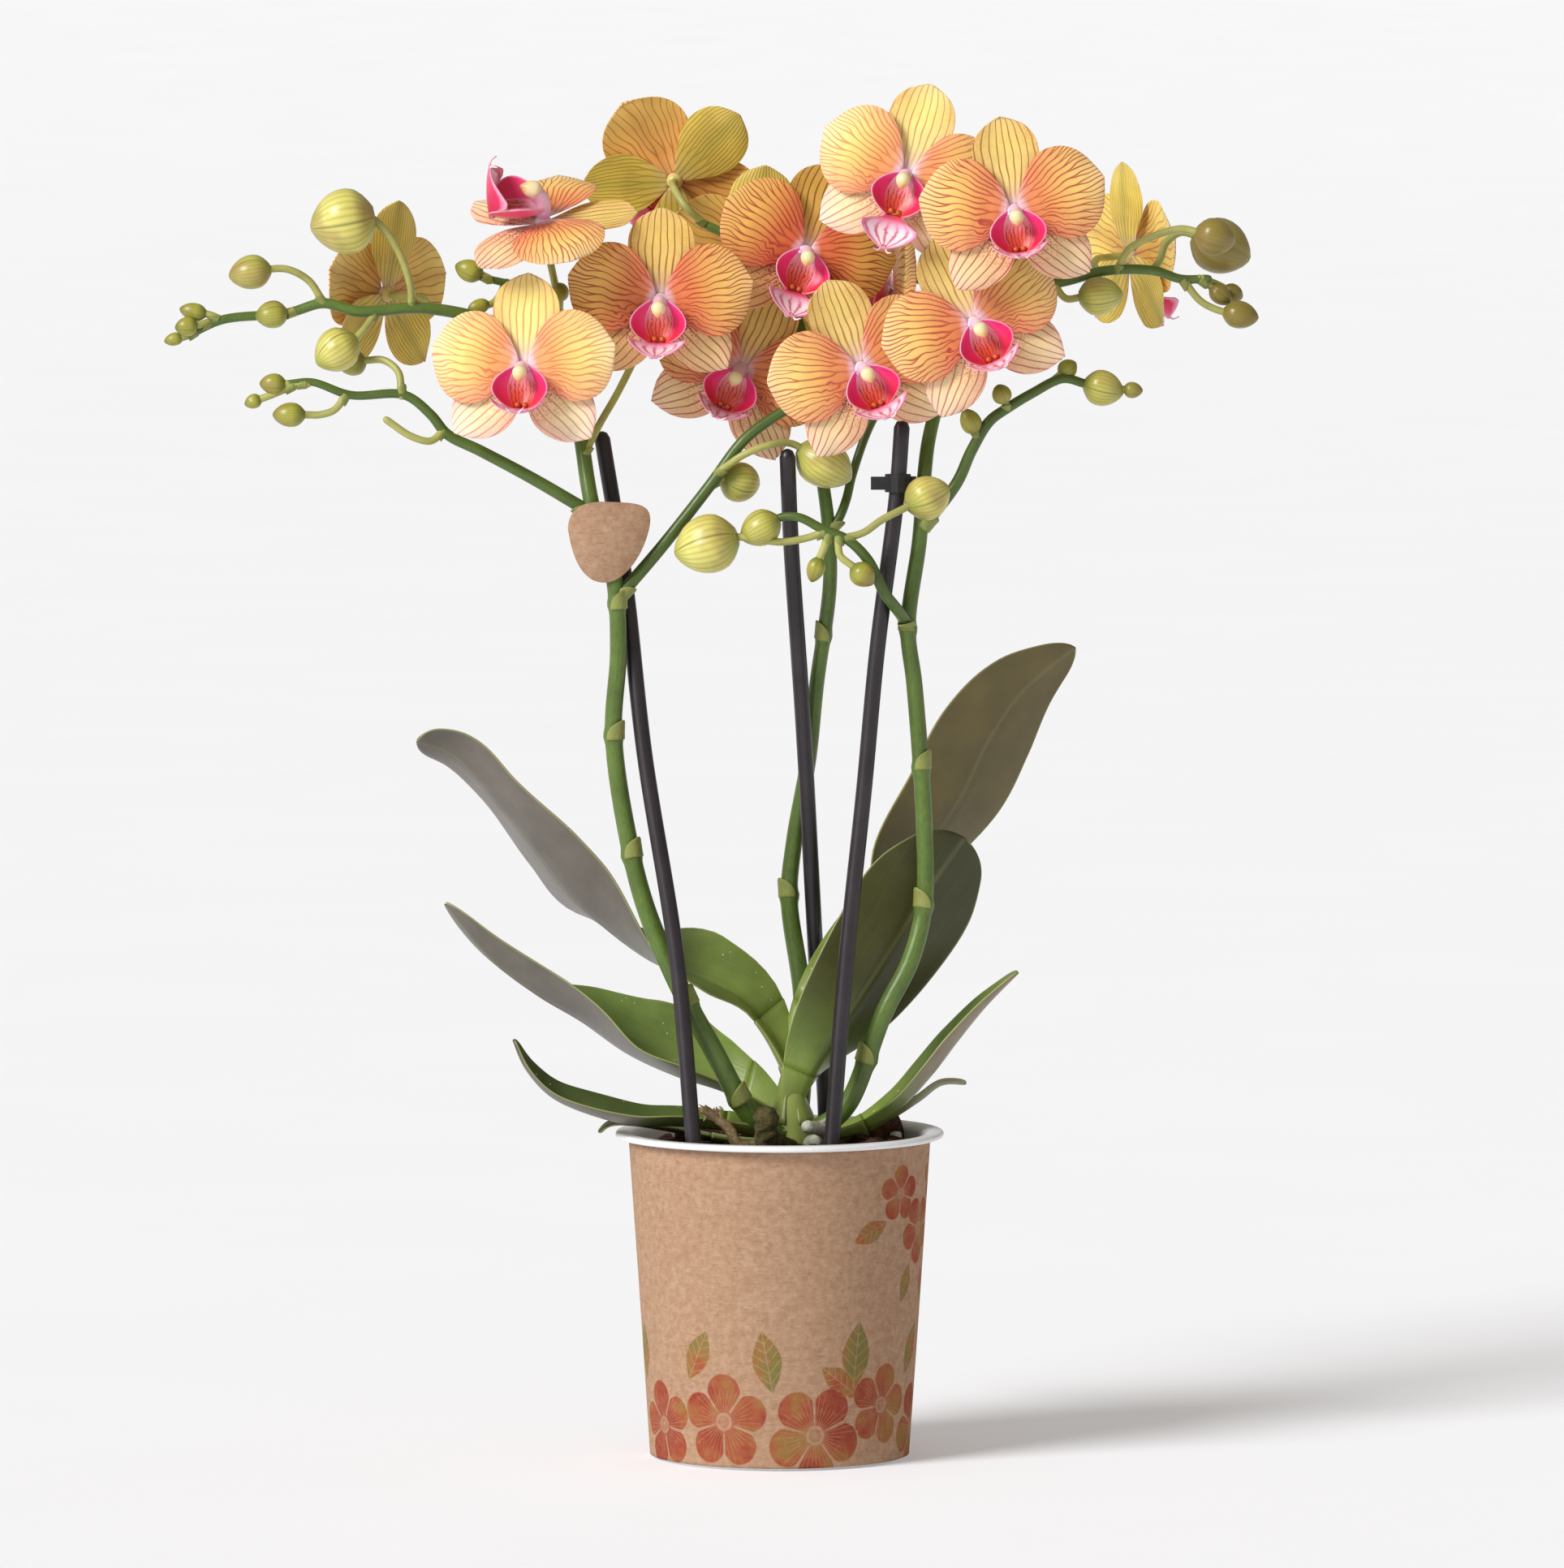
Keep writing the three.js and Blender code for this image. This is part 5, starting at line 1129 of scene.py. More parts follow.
def spike(side):
    """A flower spike: its stem, branches and stalks, with a bract at each joint, and its buds."""
    skin = Skin(stem=STEM, stalk=STALK, bract=BRACT, bud=BUD)
    for part in SPIKES[side]:
        path, wide = part["path"], part.get("wide", (STALK_RADIUS, STALK_RADIUS))
        head, bloom = part.get("bud"), part.get("bloom")
        whole = path + (behind_bloom(bloom) if bloom else [head[:3]] if head else [])
        main = wide[0] > MAIN_STEM
        stalk = "wide" not in part
        points = route(whole, 0.9 if stalk else 1.3)
        joints = JOINTS[side] if main else []

        def radius(share, at):
            swell = sum(math.exp(-((at.z - z) / 1.7) ** 2) for z in joints)
            foot = 0 if main else math.exp(-((at - points[0][0]).length / 2.2) ** 2)
            return (wide[0] + (wide[1] - wide[0]) * share) * (1 + 0.22 * swell + 0.25 * foot)
        tube(skin, "stalk" if stalk else "stem", points, radius, sides=10 if stalk else 16,
             tone=0.15 if stalk else 0.25 + 0.5 * (not main))
        for z in joints:
            i = min(range(len(points)), key=lambda k: abs(points[k][0].z - z))
            ahead = points[i + 1][0] - points[i][0]
            toward = Vector((-1 if ahead.x > 0 else 1, -0.6, 0))
            share = points[i][1]
            bract(skin, points[i][0] - ahead.normalized() * 1.0, ahead, toward,
                  (wide[0] + (wide[1] - wide[0]) * share) * 1.14, 6)
        if not main:
            ahead = points[2][0] - points[0][0]
            level = abs(ahead.normalized().z) < 0.9
            toward = Vector((0, -0.5, -1)) if level else Vector((1, -1, 0))
            bract(skin, points[0][0], ahead, toward, wide[0] * 1.15, 3.2 if stalk else 5.5)
        if head:
            bud(skin, Vector(path[-1]), *head)
    skin.piece(f"spike_{side}_stems_and_buds", f"spike_{side}", slot="stem")


# Leaves


def along(stations, column, u):
    """The value of a smooth curve through a column of the stations at u from 0 to 1."""
    spans = len(stations) - 1
    place = min(max(u, 0.0), 1.0) * spans
    i = min(int(place), spans - 1)
    t = place - i
    a, b, c, d = [stations[min(max(k, 0), spans)][column] for k in (i - 1, i, i + 1, i + 2)]
    return b + 0.5 * t * (c - a + t * (2 * a - 5 * b + 4 * c - d + t * (3 * (b - c) + d - a)))


LEAF_THICKNESS = 1.15
SHEATH_THICKNESS = 1.9
CREASE = 0.045  # how far from the rib the fold is eased, as a share of half the width
LEAF_DARK = [0.5, 0.1, 0.9, 0.2, 0.5, 0.2, 0.6, 0.9]  # how dark each leaf's face is


def leaf_place(stations):
    """The middle surface of a leaf: v from -1 to 1 across, folded up along its rib."""
    def rib(u):
        return Vector([along(stations, k, u) for k in range(3)])

    def place(u, v, width=None):
        ahead = (rib(min(u + 0.01, 1)) - rib(max(min(u, 0.999) - 0.01, 0))).normalized()
        lift = BACK.cross(ahead).normalized()
        if lift.z < 0:
            lift.negate()
        wide = along(stations, 3, u) if width is None else width
        turn, fold = (math.radians(along(stations, k, u)) for k in (4, 5))
        side = lift * math.cos(turn) + BACK * math.sin(turn)
        face = side.cross(ahead).normalized()
        if ahead.x > 0:
            face.negate()
        reach = math.sqrt(v * v + CREASE ** 2) - CREASE
        return rib(u) + side * (v * wide * math.cos(fold)) + face * (reach * wide * math.sin(fold))
    return place


def leaf(number, sheath, stations):
    """The blade of a leaf past its sheath, rounded at the tip and gently rippled."""
    place = leaf_place(stations)
    skin = Skin(face=LEAF_FACE, under=UNDERSIDES[number - 1])
    reach = sum((Vector(q[:3]) - Vector(p[:3])).length for p, q in zip(stations, stations[1:]))
    rounding = 0.05 + 0.5 * stations[-1][3] / reach

    def wide_at(u):
        past = max((u - (1 - rounding)) / rounding, 0)
        return max(along(stations, 3, u) * math.sqrt(max(1 - past ** 2.2, 0)), 0.35)

    def curved(u, v):
        at = sheath + (1 - sheath) * u
        ripple = 0.5 * math.sin(7 * at + number) * v ** 3
        ripple += 0.35 * math.sin(15 * at + 2 * number) * v * v
        return place(at, v, wide_at(at)) + (BACK * 0.6 + UP * 0.5) * ripple * min(4 * u, 1)

    def values(u, v):
        at = sheath + (1 - sheath) * u
        return (v * wide_at(at), at * reach, 0), (u, v, LEAF_DARK[number - 1])

    # The face is the side that the fold opens to.
    normal = (curved(0.401, 0) - curved(0.399, 0)).cross(curved(0.4, 0.1) - curved(0.4, -0.1))
    inward = curved(0.4, 0.9) + curved(0.4, -0.9) - 2 * curved(0.4, 0)
    kinds = ("face", "under") if normal.dot(inward) > 0 else ("under", "face")
    rows = [1 - (1 - i / 60) ** 1.35 for i in range(61)]
    blade(skin, curved, kinds, rows, 16, LEAF_THICKNESS, values)
    skin.piece(f"leaf_{number}_blade", f"leaf_{number}", slot="leaf")


# The crown: a clasping sheath for each leaf, the roots, and the remains of old ones

CROWN_PATH = [[4, 0, 90], [3.5, 0, 106], [3, 1, 119]]
CROWN_X = 4
CLASP_RADIUS = 7.6
ROOTS = [
    dict(kind="fibre", path=[[3, -3, 95], [-6, -10, 96.5], [-13, -16, 98.5], [-16, -18, 103.5],
                             [-23, -20, 109]], wide=(2.2, 1.4)),
    dict(kind="moss", path=[[4, -4, 95], [0, -12, 97], [-4, -19, 100], [-4, -22, 107]],
         wide=(3.4, 3.7)),
    dict(kind="root", path=[[5, -2, 96], [12, -6, 98.5], [13.5, -9, 101.5], [8.5, -16, 103.5]],
         wide=(2.4, 2.0)),
]


def sheath(skin, stations, share, dark):
    """The base of a leaf: it clasps the stem below and ends above in the joint of the blade."""
    place = leaf_place(stations)
    left = place(0.1, 0).x < place(0, 0).x
    low = max(MIX_TOP - 0.5, stations[0][2] - 17)

    def curved(u, v):
        if u > 0.5:
            return place(share * (2 * u - 1), v * 1.02)
        angle = math.pi - 1.25 * v if left else 1.25 * v
        foot = Vector((CROWN_X + CLASP_RADIUS * math.cos(angle),
                       CLASP_RADIUS * math.sin(angle), low))
        return foot.lerp(place(0, v * 1.02), smooth(u, -0.15, 0.5))
    begin = 0.0 if stations[0][2] > 100 else 0.5  # the lowest leaves spring from inside the stem
    rows = [begin + (1 - begin) * i / 20 for i in range(21)]
    blade(skin, curved, ("sheath", "sheath"), rows, 12, SHEATH_THICKNESS,
          lambda u, v: ((v * 8, u * 24, 0), (u, v, dark)))


def crown():
    """The short stem, a sheath for each leaf, three roots, and the torn strands on one of them."""
    skin = Skin(sheath=SHEATH, fibre=FIBRE, moss=MOSS, root=VELAMEN)
    tube(skin, "sheath", route(CROWN_PATH, 2.0), lambda s, _: 7.0 - 4.6 * s * s, sides=20)
    skin.spot = [(0.15, v, tone) for _, v, tone in skin.spot]
    for number, shape in enumerate(LEAVES, 1):
        sheath(skin, shape["stations"], shape["sheath"], LEAF_DARK[number - 1])
    for number, root in enumerate(ROOTS):
        wide, rough = root["wide"], 0.3 if root["kind"] == "moss" else 0.12

        def lumps(far, angle):
            spot = (far / 2.2, 1.3 * math.cos(angle), 1.3 * math.sin(angle) + 9 * number)
            return rough * noise.noise(Vector(spot))
        tube(skin, root["kind"], route(root["path"], 0.7),
             lambda s, _: wide[0] + (wide[1] - wide[0]) * s, sides=16, relief=lumps)
    draw = random.Random(3)
    end = Vector(ROOTS[0]["path"][-1])
    for _ in range(16):  # the torn strands at the end of the broken root
        start = end + Vector((draw.uniform(0, 6), draw.uniform(-1, 1), draw.uniform(-3, 0.5)))
        away = Vector((draw.uniform(-3.5, -0.5), draw.uniform(-1.5, 0.5), draw.uniform(-1, 2.2)))
        strand = [start, start + away * 0.6, start + away + UP * draw.uniform(-0.6, 0.6)]
        tube(skin, "fibre", route(strand, 0.7), lambda s, _: 0.45 - 0.25 * s, sides=6)
    skin.piece("crown_sheaths_and_roots", "crown", slot="crown")


# Pot, sleeve and mix

POT_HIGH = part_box("pot")[1][2] / MM
RIM_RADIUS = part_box("pot")[1][0] / MM
SLEEVE_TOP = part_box("pot_sleeve")[1][2] / MM
SLEEVE_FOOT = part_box("pot_sleeve")[0][2] / MM
SLEEVE_RADII = (40, 46.75)
SLEEVE_THICKNESS = 0.6
GAP = 0.3
WALL = 1.2
RIM_DEPTH = 2.1
FLOOR = 1.6
MIX_TOP = 89
DRAINS = dict(radius=3.5, circle=25, count=4)
HIGH_CHUNK = dict(at=(31, 21, 96), size=(7, 5, 9.5), turn=0.5)
LOOSE_CHUNKS = 210
WALL_CHUNKS = 90


def sleeve_radius(z):
    return SLEEVE_RADII[0] + (SLEEVE_RADII[1] - SLEEVE_RADII[0]) * z / POT_HIGH


def pot_radius(z):
    return sleeve_radius(z) - SLEEVE_THICKNESS - GAP


def arc(middle, radius, start, end, steps):
    """Points of a round corner in the radius and height plane."""
    angles = [math.radians(start + (end - start) * i / steps) for i in range(steps + 1)]
    return [(middle[0] + radius * math.cos(a), middle[1] + radius * math.sin(a)) for a in angles]


def pot():
    """A thin pot with a rolled rim, and holes cut through its floor."""
    skin = Skin(plastic=POLYPROPYLENE)
    under = POT_HIGH - RIM_DEPTH
    body = pot_radius(under)
    profile = [(1, 0), (12, 0), (24, 0), (pot_radius(0) - 2, 0)]
    profile += arc((pot_radius(1) - 1, 1), 1, -90, 0, 4)
    profile += [(pot_radius(z), z) for z in (12, 30, 50, 70, 88)]
    profile += [(body, under - 0.2), (body + 0.3, under)]
    profile += arc((RIM_RADIUS - 1.0, under + 1.0), 1.0, -90, 90, 10)
    profile += [(body + 2.2, POT_HIGH - 0.05)]
    profile += [(body + 0.6, POT_HIGH - 0.35), (body - 0.4, POT_HIGH - 1.1),
                (body - WALL, POT_HIGH - 2.6)]
    profile += [(pot_radius(z) - WALL, z) for z in (88, 70, 50, 30, 12)]
    profile += [(pot_radius(FLOOR) - WALL, FLOOR + 0.6), (pot_radius(FLOOR) - WALL - 0.6, FLOOR)]
    profile += [(24, FLOOR), (12, FLOOR), (1, FLOOR)]
    sides = 144
    rings = []
    for r, z in profile:
        angles = (TURN * k / sides for k in range(sides))
        rings.append([(polar(r, a, z), (a, z, r), (0, 0, 0)) for a in angles])
    skin.rings(rings, ["plastic"] * sides)
    piece = skin.piece("nursery_pot_moulded", "pot", slot="pot")
    drill = bmesh.new()
    for i in range(DRAINS["count"]):
        angle = TURN * (i + 0.5) / DRAINS["count"]
        spot = Matrix.Translation(polar(DRAINS["circle"] * MM, angle, 0))
        bmesh.ops.create_cone(drill, cap_ends=True, segments=24, radius1=DRAINS["radius"] * MM,
                              radius2=DRAINS["radius"] * MM, depth=8 * FLOOR * MM, matrix=spot)
    tool_mesh = bpy.data.meshes.new("drains")
    drill.to_mesh(tool_mesh)
    drill.free()
    tool = bpy.data.objects.new("drains", tool_mesh)
    bpy.context.scene.collection.objects.link(tool)
    cut = piece.modifiers.new("drains", "BOOLEAN")
    cut.object, cut.operation, cut.solver = tool, "DIFFERENCE", "EXACT"
    view = bpy.context.evaluated_depsgraph_get()
    done = bpy.data.meshes.new_from_object(piece.evaluated_get(view))
    piece.modifiers.clear()
    piece.data = done
    bpy.data.objects.remove(tool)


SLEEVE_ARC = 43.4  # the radius at which the design is laid out
LAP_WIDTH = 8
# Each motif: the angle round the sleeve, its height, size, turn and hue, negative for a leaf.
MOTIFS = [
    (-2.0, 15, 15, 0.3, 0.3), (-1.3, 11, 16, 1.0, 0.15), (-0.72, 19, 13, 0.1, 0.35),
    (-2.62, 12, 14, 0.5, 0.2), (-0.15, 10, 15, 0.8, 0.25), (0.45, 16, 14, 0.2, 0.3),
    (1.1, 11, 15, 0.9, 0.2), (2.2, 13, 15, 0.4, 0.3), (2.85, 15, 14, 1.0, 0.15),
    (-0.62, 84, 9, 0.3, 0.2), (-0.32, 72, 11, 0.9, 0.25), (-0.05, 88, 8, 0.5, 0.3),
    (-1.62, 24, 20, 1.75, -0.7), (-1.0, 24, 22, 1.5, -0.85), (-2.3, 27, 18, 1.1, -0.8),
    (-0.95, 22, 17, 2.5, -0.6), (-0.42, 27, 18, 1.1, -0.75), (0.1, 22, 20, 1.7, -0.8),
    (0.75, 22, 19, 1.3, -0.7), (1.6, 18, 18, 1.2, -0.8), (2.5, 24, 18, 1.8, -0.7),
    (-2.95, 24, 19, 1.5, -0.75), (-0.75, 76, 14, 3.6, -0.7), (-0.45, 62, 13, 4.4, -0.8),
    (-0.2, 60, 12, 5.0, -0.65), (0.05, 76, 14, 5.9, -0.8), (-1.35, 5, 1, 0, -0.7),
]


def on_motif(angle, z, motif):
    """A place on the sleeve as a place on a motif, in shares of its size."""
    middle, high, size, turn, _ = motif
    x = ((angle - middle + math.pi) % TURN - math.pi) * SLEEVE_ARC / size
    y = (z - high) / size
    return x * math.cos(turn) + y * math.sin(turn), y * math.cos(turn) - x * math.sin(turn)


def inside_motif(angle, z, motif):
    x, y = on_motif(angle, z, motif)
    if motif[4] < 0:
        return 0.24 * math.sin(math.pi * min(max(x, 0), 1)) ** 0.8 - abs(y) - max(-x, x - 1, 0)
    petal = abs(math.cos(2.5 * math.atan2(y, x)))
    return 0.52 + 0.48 * petal ** 0.5 - math.hypot(x, y) + 0.05


def print_motifs(piece):
    """Gives each face of the sleeve's outside its place on the motif that covers it."""
    mesh = piece.data
    layer = mesh.attributes.new("motif", "FLOAT_VECTOR", "CORNER")
    values = [0.0] * (3 * len(mesh.loops))
    spots = [v.co / MM for v in mesh.vertices]
    for face in mesh.polygons:
        middle = face.center / MM
        angle = math.atan2(middle.y, middle.x)
        best = max(MOTIFS, key=lambda motif: inside_motif(angle, middle.z, motif) * motif[2])
        for i in face.loop_indices:
            at = spots[mesh.loops[i].vertex_index]
            x, y = on_motif(math.atan2(at.y, at.x), at.z, best)
            values[3 * i:3 * i + 3] = x, y, best[4]
    layer.data.foreach_set("vector", values)


def sleeve():
    """The paper cone round the pot, and the lap where its ends are glued at the back."""
    skin = Skin(printed=PRINTED_KRAFT, plain=PLAIN_KRAFT)
    heights = [SLEEVE_FOOT + (SLEEVE_TOP - SLEEVE_FOOT) * i / 80 for i in range(81)]
    outer = [(sleeve_radius(z), z, "printed") for z in heights]
    inner = [(sleeve_radius(z) - SLEEVE_THICKNESS, z, "plain") for z in heights[::-10]]
    lathed(skin, outer + inner, 260,
           wave=lambda a, z: 0.1 * math.sin(3 * a + z / 30) * math.sin(math.pi * z / 99))

    def lap(u, v):
        z = SLEEVE_FOOT + 0.4 + (SLEEVE_TOP - SLEEVE_FOOT - 0.8) * u
        r = sleeve_radius(z) + 0.16
        angle = math.pi / 2 + v * LAP_WIDTH / 2 / SLEEVE_ARC
        return polar(r, angle, z)
    blade(skin, lap, ("plain", "plain"), [i / 20 for i in range(21)], 6, 0.25,
          lambda u, v: ((0, 0, 0), (u, v, 0)))
    print_motifs(skin.piece("pot_sleeve_printed_kraft", "pot_sleeve", slot="sleeve"))


def chunk(skin, kind, middle, size, turned, draw):
    """A broken piece of bark or perlite: blocky, with a rough face."""
    a, b, c = size
    seed = draw.uniform(0, 99)

    def shape(t, angle):
        x, y = math.cos(angle), math.sin(angle)
        box = 1 / (abs(x) ** 3.5 + abs(y) ** 3.5) ** (1 / 3.5)
        oval = a * b / math.hypot(b * x, a * y) / a
        rough = noise.noise(Vector((2 * x, 2 * y, 3 * t + seed)))
        return box * oval * (1 + 0.3 * rough)
    first = len(skin.points)
    egg(skin, kind, Vector(), UP, 2 * c, 2 * a,
        lambda t: max(1 - abs(2 * t - 1) ** 3.5, 0) ** (1 / 3.5), rings=8, sides=12, shape=shape)
    skin.points[first:] = [turned @ p + middle for p in skin.points[first:]]


def mix():
    """The mix that fills the pot, with loose chunks over it, more of them along the wall, and one
    that stands high."""
    skin = Skin(bark=BARK, perlite=PERLITE)
    inner = pot_radius(MIX_TOP) - WALL - GAP
    foot = FLOOR + GAP
    profile = [(0.5, foot), (20, foot), (pot_radius(2) - WALL - 0.9, foot)]
    profile += [(pot_radius(z) - WALL - GAP, z) for z in (5, 25, 50, 75, 90)]
    profile += [(inner * (1 - i / 12), MIX_TOP + 2.5) for i in range(12)]
    sides = 64
    rings = []
    for r, z in profile:
        ring = []
        for k in range(sides):
            a = TURN * k / sides
            at = polar(r, a, z)
            if z > 90:
                at.z += 1.5 * noise.noise(at / 6)
            ring.append((at, (a, z, r), (0, 0, 0)))
        rings.append(ring)
    skin.rings(rings, ["bark"] * sides)
    draw = random.Random(7)
    for i in range(LOOSE_CHUNKS):
        r = (inner - 3) * math.sqrt(draw.random())
        a = draw.uniform(0, TURN)
        pale = i % 14 == 0
        long = draw.uniform(3.0, 6.5) if not pale else draw.uniform(1.3, 2.0)
        size = (long, long * draw.uniform(0.55, 0.85), long * draw.uniform(0.3, 0.5))
        if pale:
            size = (long, long * 0.9, long * 0.85)
        r = min(r, inner - 0.6 - long)
        turned = Quaternion((draw.uniform(-1, 1), draw.uniform(-1, 1), 0), draw.uniform(0, 0.7))
        turned = turned @ Quaternion(UP, draw.uniform(0, TURN))
        z = MIX_TOP + 2 + draw.uniform(0, 3.2) + (1.6 if pale else 0)
        chunk(skin, "perlite" if pale else "bark", polar(r, a, z), size, turned, draw)
    for i in range(WALL_CHUNKS):
        long = draw.uniform(3.0, 5.5)
        r = draw.uniform(28, inner - long - 0.4)
        a = draw.uniform(-0.3, math.pi + 0.3) if i % 5 else draw.uniform(math.pi, TURN)
        turned = Quaternion((draw.uniform(-1, 1), draw.uniform(-1, 1), 0), draw.uniform(0, 0.9))
        chunk(skin, "bark", polar(r, a, draw.uniform(92, 97)),
              (long, long * 0.75, long * draw.uniform(0.4, 0.6)), turned, draw)
    turned = Quaternion(UP, HIGH_CHUNK["turn"]) @ Quaternion((1, 0, 0), 0.2)
    chunk(skin, "bark", Vector(HIGH_CHUNK["at"]), HIGH_CHUNK["size"], turned, draw)
    for at in ((36, 15, 97.5), (35, 16.5, 94.2)):
        chunk(skin, "perlite", Vector(at), (1.8, 1.6, 1.5), Quaternion(), draw)
    skin.piece("bark_mix_chunks", "bark_mix", slot="mix")


# Stakes and tag

STAKE_RADIUS = 2.45
TAG = dict(at=(-53, -10.7, 283.2), wide=26.5, high=25, thick=0.8)
TAG_BOW = 0.0015  # how far the card bends back, over the square of the way from its middle


def stake(side):
    """A round cane on its slightly bent route."""
    skin = Skin(plastic=STAKE)
    tube(skin, "plastic", route(STAKES[side], 4.0), lambda s, _: STAKE_RADIUS, sides=24)
    skin.piece(f"stake_{side}_smooth", f"stake_{side}", slot="stake")


def bezier(a, b, c, d, steps):
    """Points from a towards d, drawn out by b and c, and short of d."""
    return [a * (1 - t) ** 3 + 3 * b * t * (1 - t) ** 2 + 3 * c * t * t * (1 - t) + d * t ** 3
            for t in (i / steps for i in range(steps))]


def tag():
    """A small card, rounded like a pebble, with its edges broken."""
    skin = Skin(card=PLAIN_KRAFT)
    w, h = TAG["wide"] / 2, TAG["high"] / 2
    spans = [((-0.9, 0.35), (-0.85, 0.95), (-0.4, 1), (0.1, 0.98)),
             ((0.1, 0.98), (0.75, 0.95), (1.12, 0.95), (0.98, 0.3)),
             ((0.98, 0.3), (0.85, -0.3), (0.45, -0.95), (0, -1)),
             ((0, -1), (-0.5, -1.05), (-0.8, -0.5), (-0.9, 0.35))]
    edge = [p for span in spans for p in bezier(*[Vector((x * w, 0, z * h)) for x, z in span], 14)]
    at = Vector(TAG["at"])
    rings = []
    for inset, deep in ((0.15, 0), (0, -0.12), (0, -TAG["thick"] + 0.12), (0.15, -TAG["thick"])):
        rings.append([(at + p * (1 - inset / w) + BACK * deep + BACK * TAG_BOW * p.x * p.x,
                       (0, 0, 0), (0, 0, 0)) for p in edge])
    skin.rings(rings, ["card"] * len(edge))
    skin.piece("tag_kraft_card", "tag", slot="card")


# The finishes by piece

# A moth orchid's segments are matt and cool to the touch: tiny domed cells scatter the light, so
# the colour looks deep and soft, with hardly any shine. Veins sit a hair below the surface.
FORKS = [(7.0, 11.0, 0.25), (19.0, 25.0, 0.125)]
PETAL_FACE = segment_front("petal_face_living", middle=[
    (0.0, LILAC_WHITE), (0.1, "#F7AE76"), (0.28, "#F6AE66"), (0.46, "#FACC74"), (0.68, "#FCE288"),
    (0.9, "#FBE6A2"), (1.0, "#FBE2B4")], margin=[
    (0.0, LILAC_WHITE), (0.2, "#F2A878"), (0.5, "#F4BE7C"), (0.8, "#F8D48E"), (1.0, "#FADFAA")],
    low=[
    (0.0, LILAC_WHITE), (0.2, "#F09C78"), (0.5, "#F2B082"), (0.8, "#F6C890"), (1.0, "#F9D6A8")],
    dark=[
    (0.0, "#EE9A7E"), (0.12, "#D9522C"), (0.36, "#D0602A"), (0.66, "#DFA044"), (1.0, "#DFAA50")],
    forks=FORKS, crazed=True)
DORSAL_SIDES = [(0.0, LILAC_WHITE), (0.3, "#FADC9C"), (0.8, "#F5CC7A"), (1.0, "#F8DA9C")]
DORSAL_FACE = segment_front("dorsal_sepal_face_living", middle=[
    (0.0, LILAC_WHITE), (0.14, "#FBE2B4"), (0.3, "#FDEC9C"), (0.7, "#FCE688"), (0.92, "#FADE90"),
    (1.0, "#FAE2A8")], margin=DORSAL_SIDES, low=DORSAL_SIDES, dark=[
    (0.0, "#EBB080"), (0.3, "#DEA648"), (0.75, "#CC9A3C"), (1.0, "#D4A44A")],
    forks=[], inks=("#B0622E", "#7C4212"), net=0.22)
LATERAL_SIDES = [(0.0, LILAC_WHITE), (0.4, "#F9C4A6"), (0.8, "#FACBB8"), (1.0, "#FBD8CA")]
LATERAL_FACE = segment_front("lateral_sepal_face_living", middle=[
    (0.0, LILAC_WHITE), (0.2, "#FBD6B0"), (0.5, "#FDE6AE"), (0.8, "#FDECC4"), (1.0, "#FCE6D2")],
    margin=LATERAL_SIDES, low=LATERAL_SIDES, dark=[
    (0.0, "#E9AC90"), (0.3, "#E0966A"), (0.7, "#E8B860"), (1.0, "#E2AC70")],
    forks=[], freckled=True)
# The backs are plainer and yellower, and the veins stand a little proud: a quiet golden side with
# the stripes only guessed at through the tissue.
SEPAL_BACK = segment_back("sepal_back_living", bright=[
    (0.0, "#D9C08A"), (0.2, "#DFC25A"), (0.6, "#E6CB56"), (1.0, "#F0DA74")], deep=[
    (0.0, "#B39A52"), (0.25, "#B8A040"), (0.7, "#C4AC44"), (1.0, "#D0B850")],
    rib="#94963A", ink="#9A6A22")
PETAL_BACK = segment_back("petal_back_living", bright=[
    (0.0, "#E6BC86"), (0.2, "#E8B862"), (0.6, "#ECCA6A"), (1.0, "#F2DA86")], deep=[
    (0.0, "#D0904E"), (0.25, "#D28642"), (0.7, "#D49C48"), (1.0, "#DCAE58")],
    rib="#B07A34", ink="#8A3E14")

# The lip is thicker and waxier than the petals, so it takes soft, broad highlights: the one wet-
# looking, saturated spot in a dry bloom.
HEART = lip_tissue("bloom_heart_waxy", [(0.0, "#C9B85E"), (0.4, "#E2C98C"), (0.7, LILAC_WHITE),
                                        (1.0, LILAC_WHITE)])
# The insides of the ears are partly painted light: their colours are lifted to make up for the
# shade that falls inside the ears.
LOBE_INSIDE = lip_tissue("side_lobe_inside_waxy", [
    (0.0, "#E765A4"), (0.2, "#EE3A80"), (0.55, "#E62A62"), (0.85, "#D42440"), (1.0, "#D23E2A")],
    rim="#F08CB4", rim_from=0.9)
LOBE_OUTSIDE = lip_tissue("side_lobe_outside_waxy", [
    (0.0, "#E7A0C4"), (0.35, "#E64C88"), (0.8, "#DC345E"), (1.0, "#D4583E")], rim="#EFB0C8")
# The throat's red stripes lead in towards the spotted callus, the warmest point of the bloom.
THROAT = lip_tissue("lip_throat_waxy", [
    (0.0, "#F2B8D4"), (0.3, "#E88A92"), (0.6, "#DC5A44"), (1.0, "#D23A20")],
    streak="#A0141E", streaks=3.5)
CALLUS = lip_tissue("lip_callus_waxy", [(0.0, "#A82A1A"), (0.5, "#C04422"), (1.0, "#D06C34")],
                    spots="#8E1018")
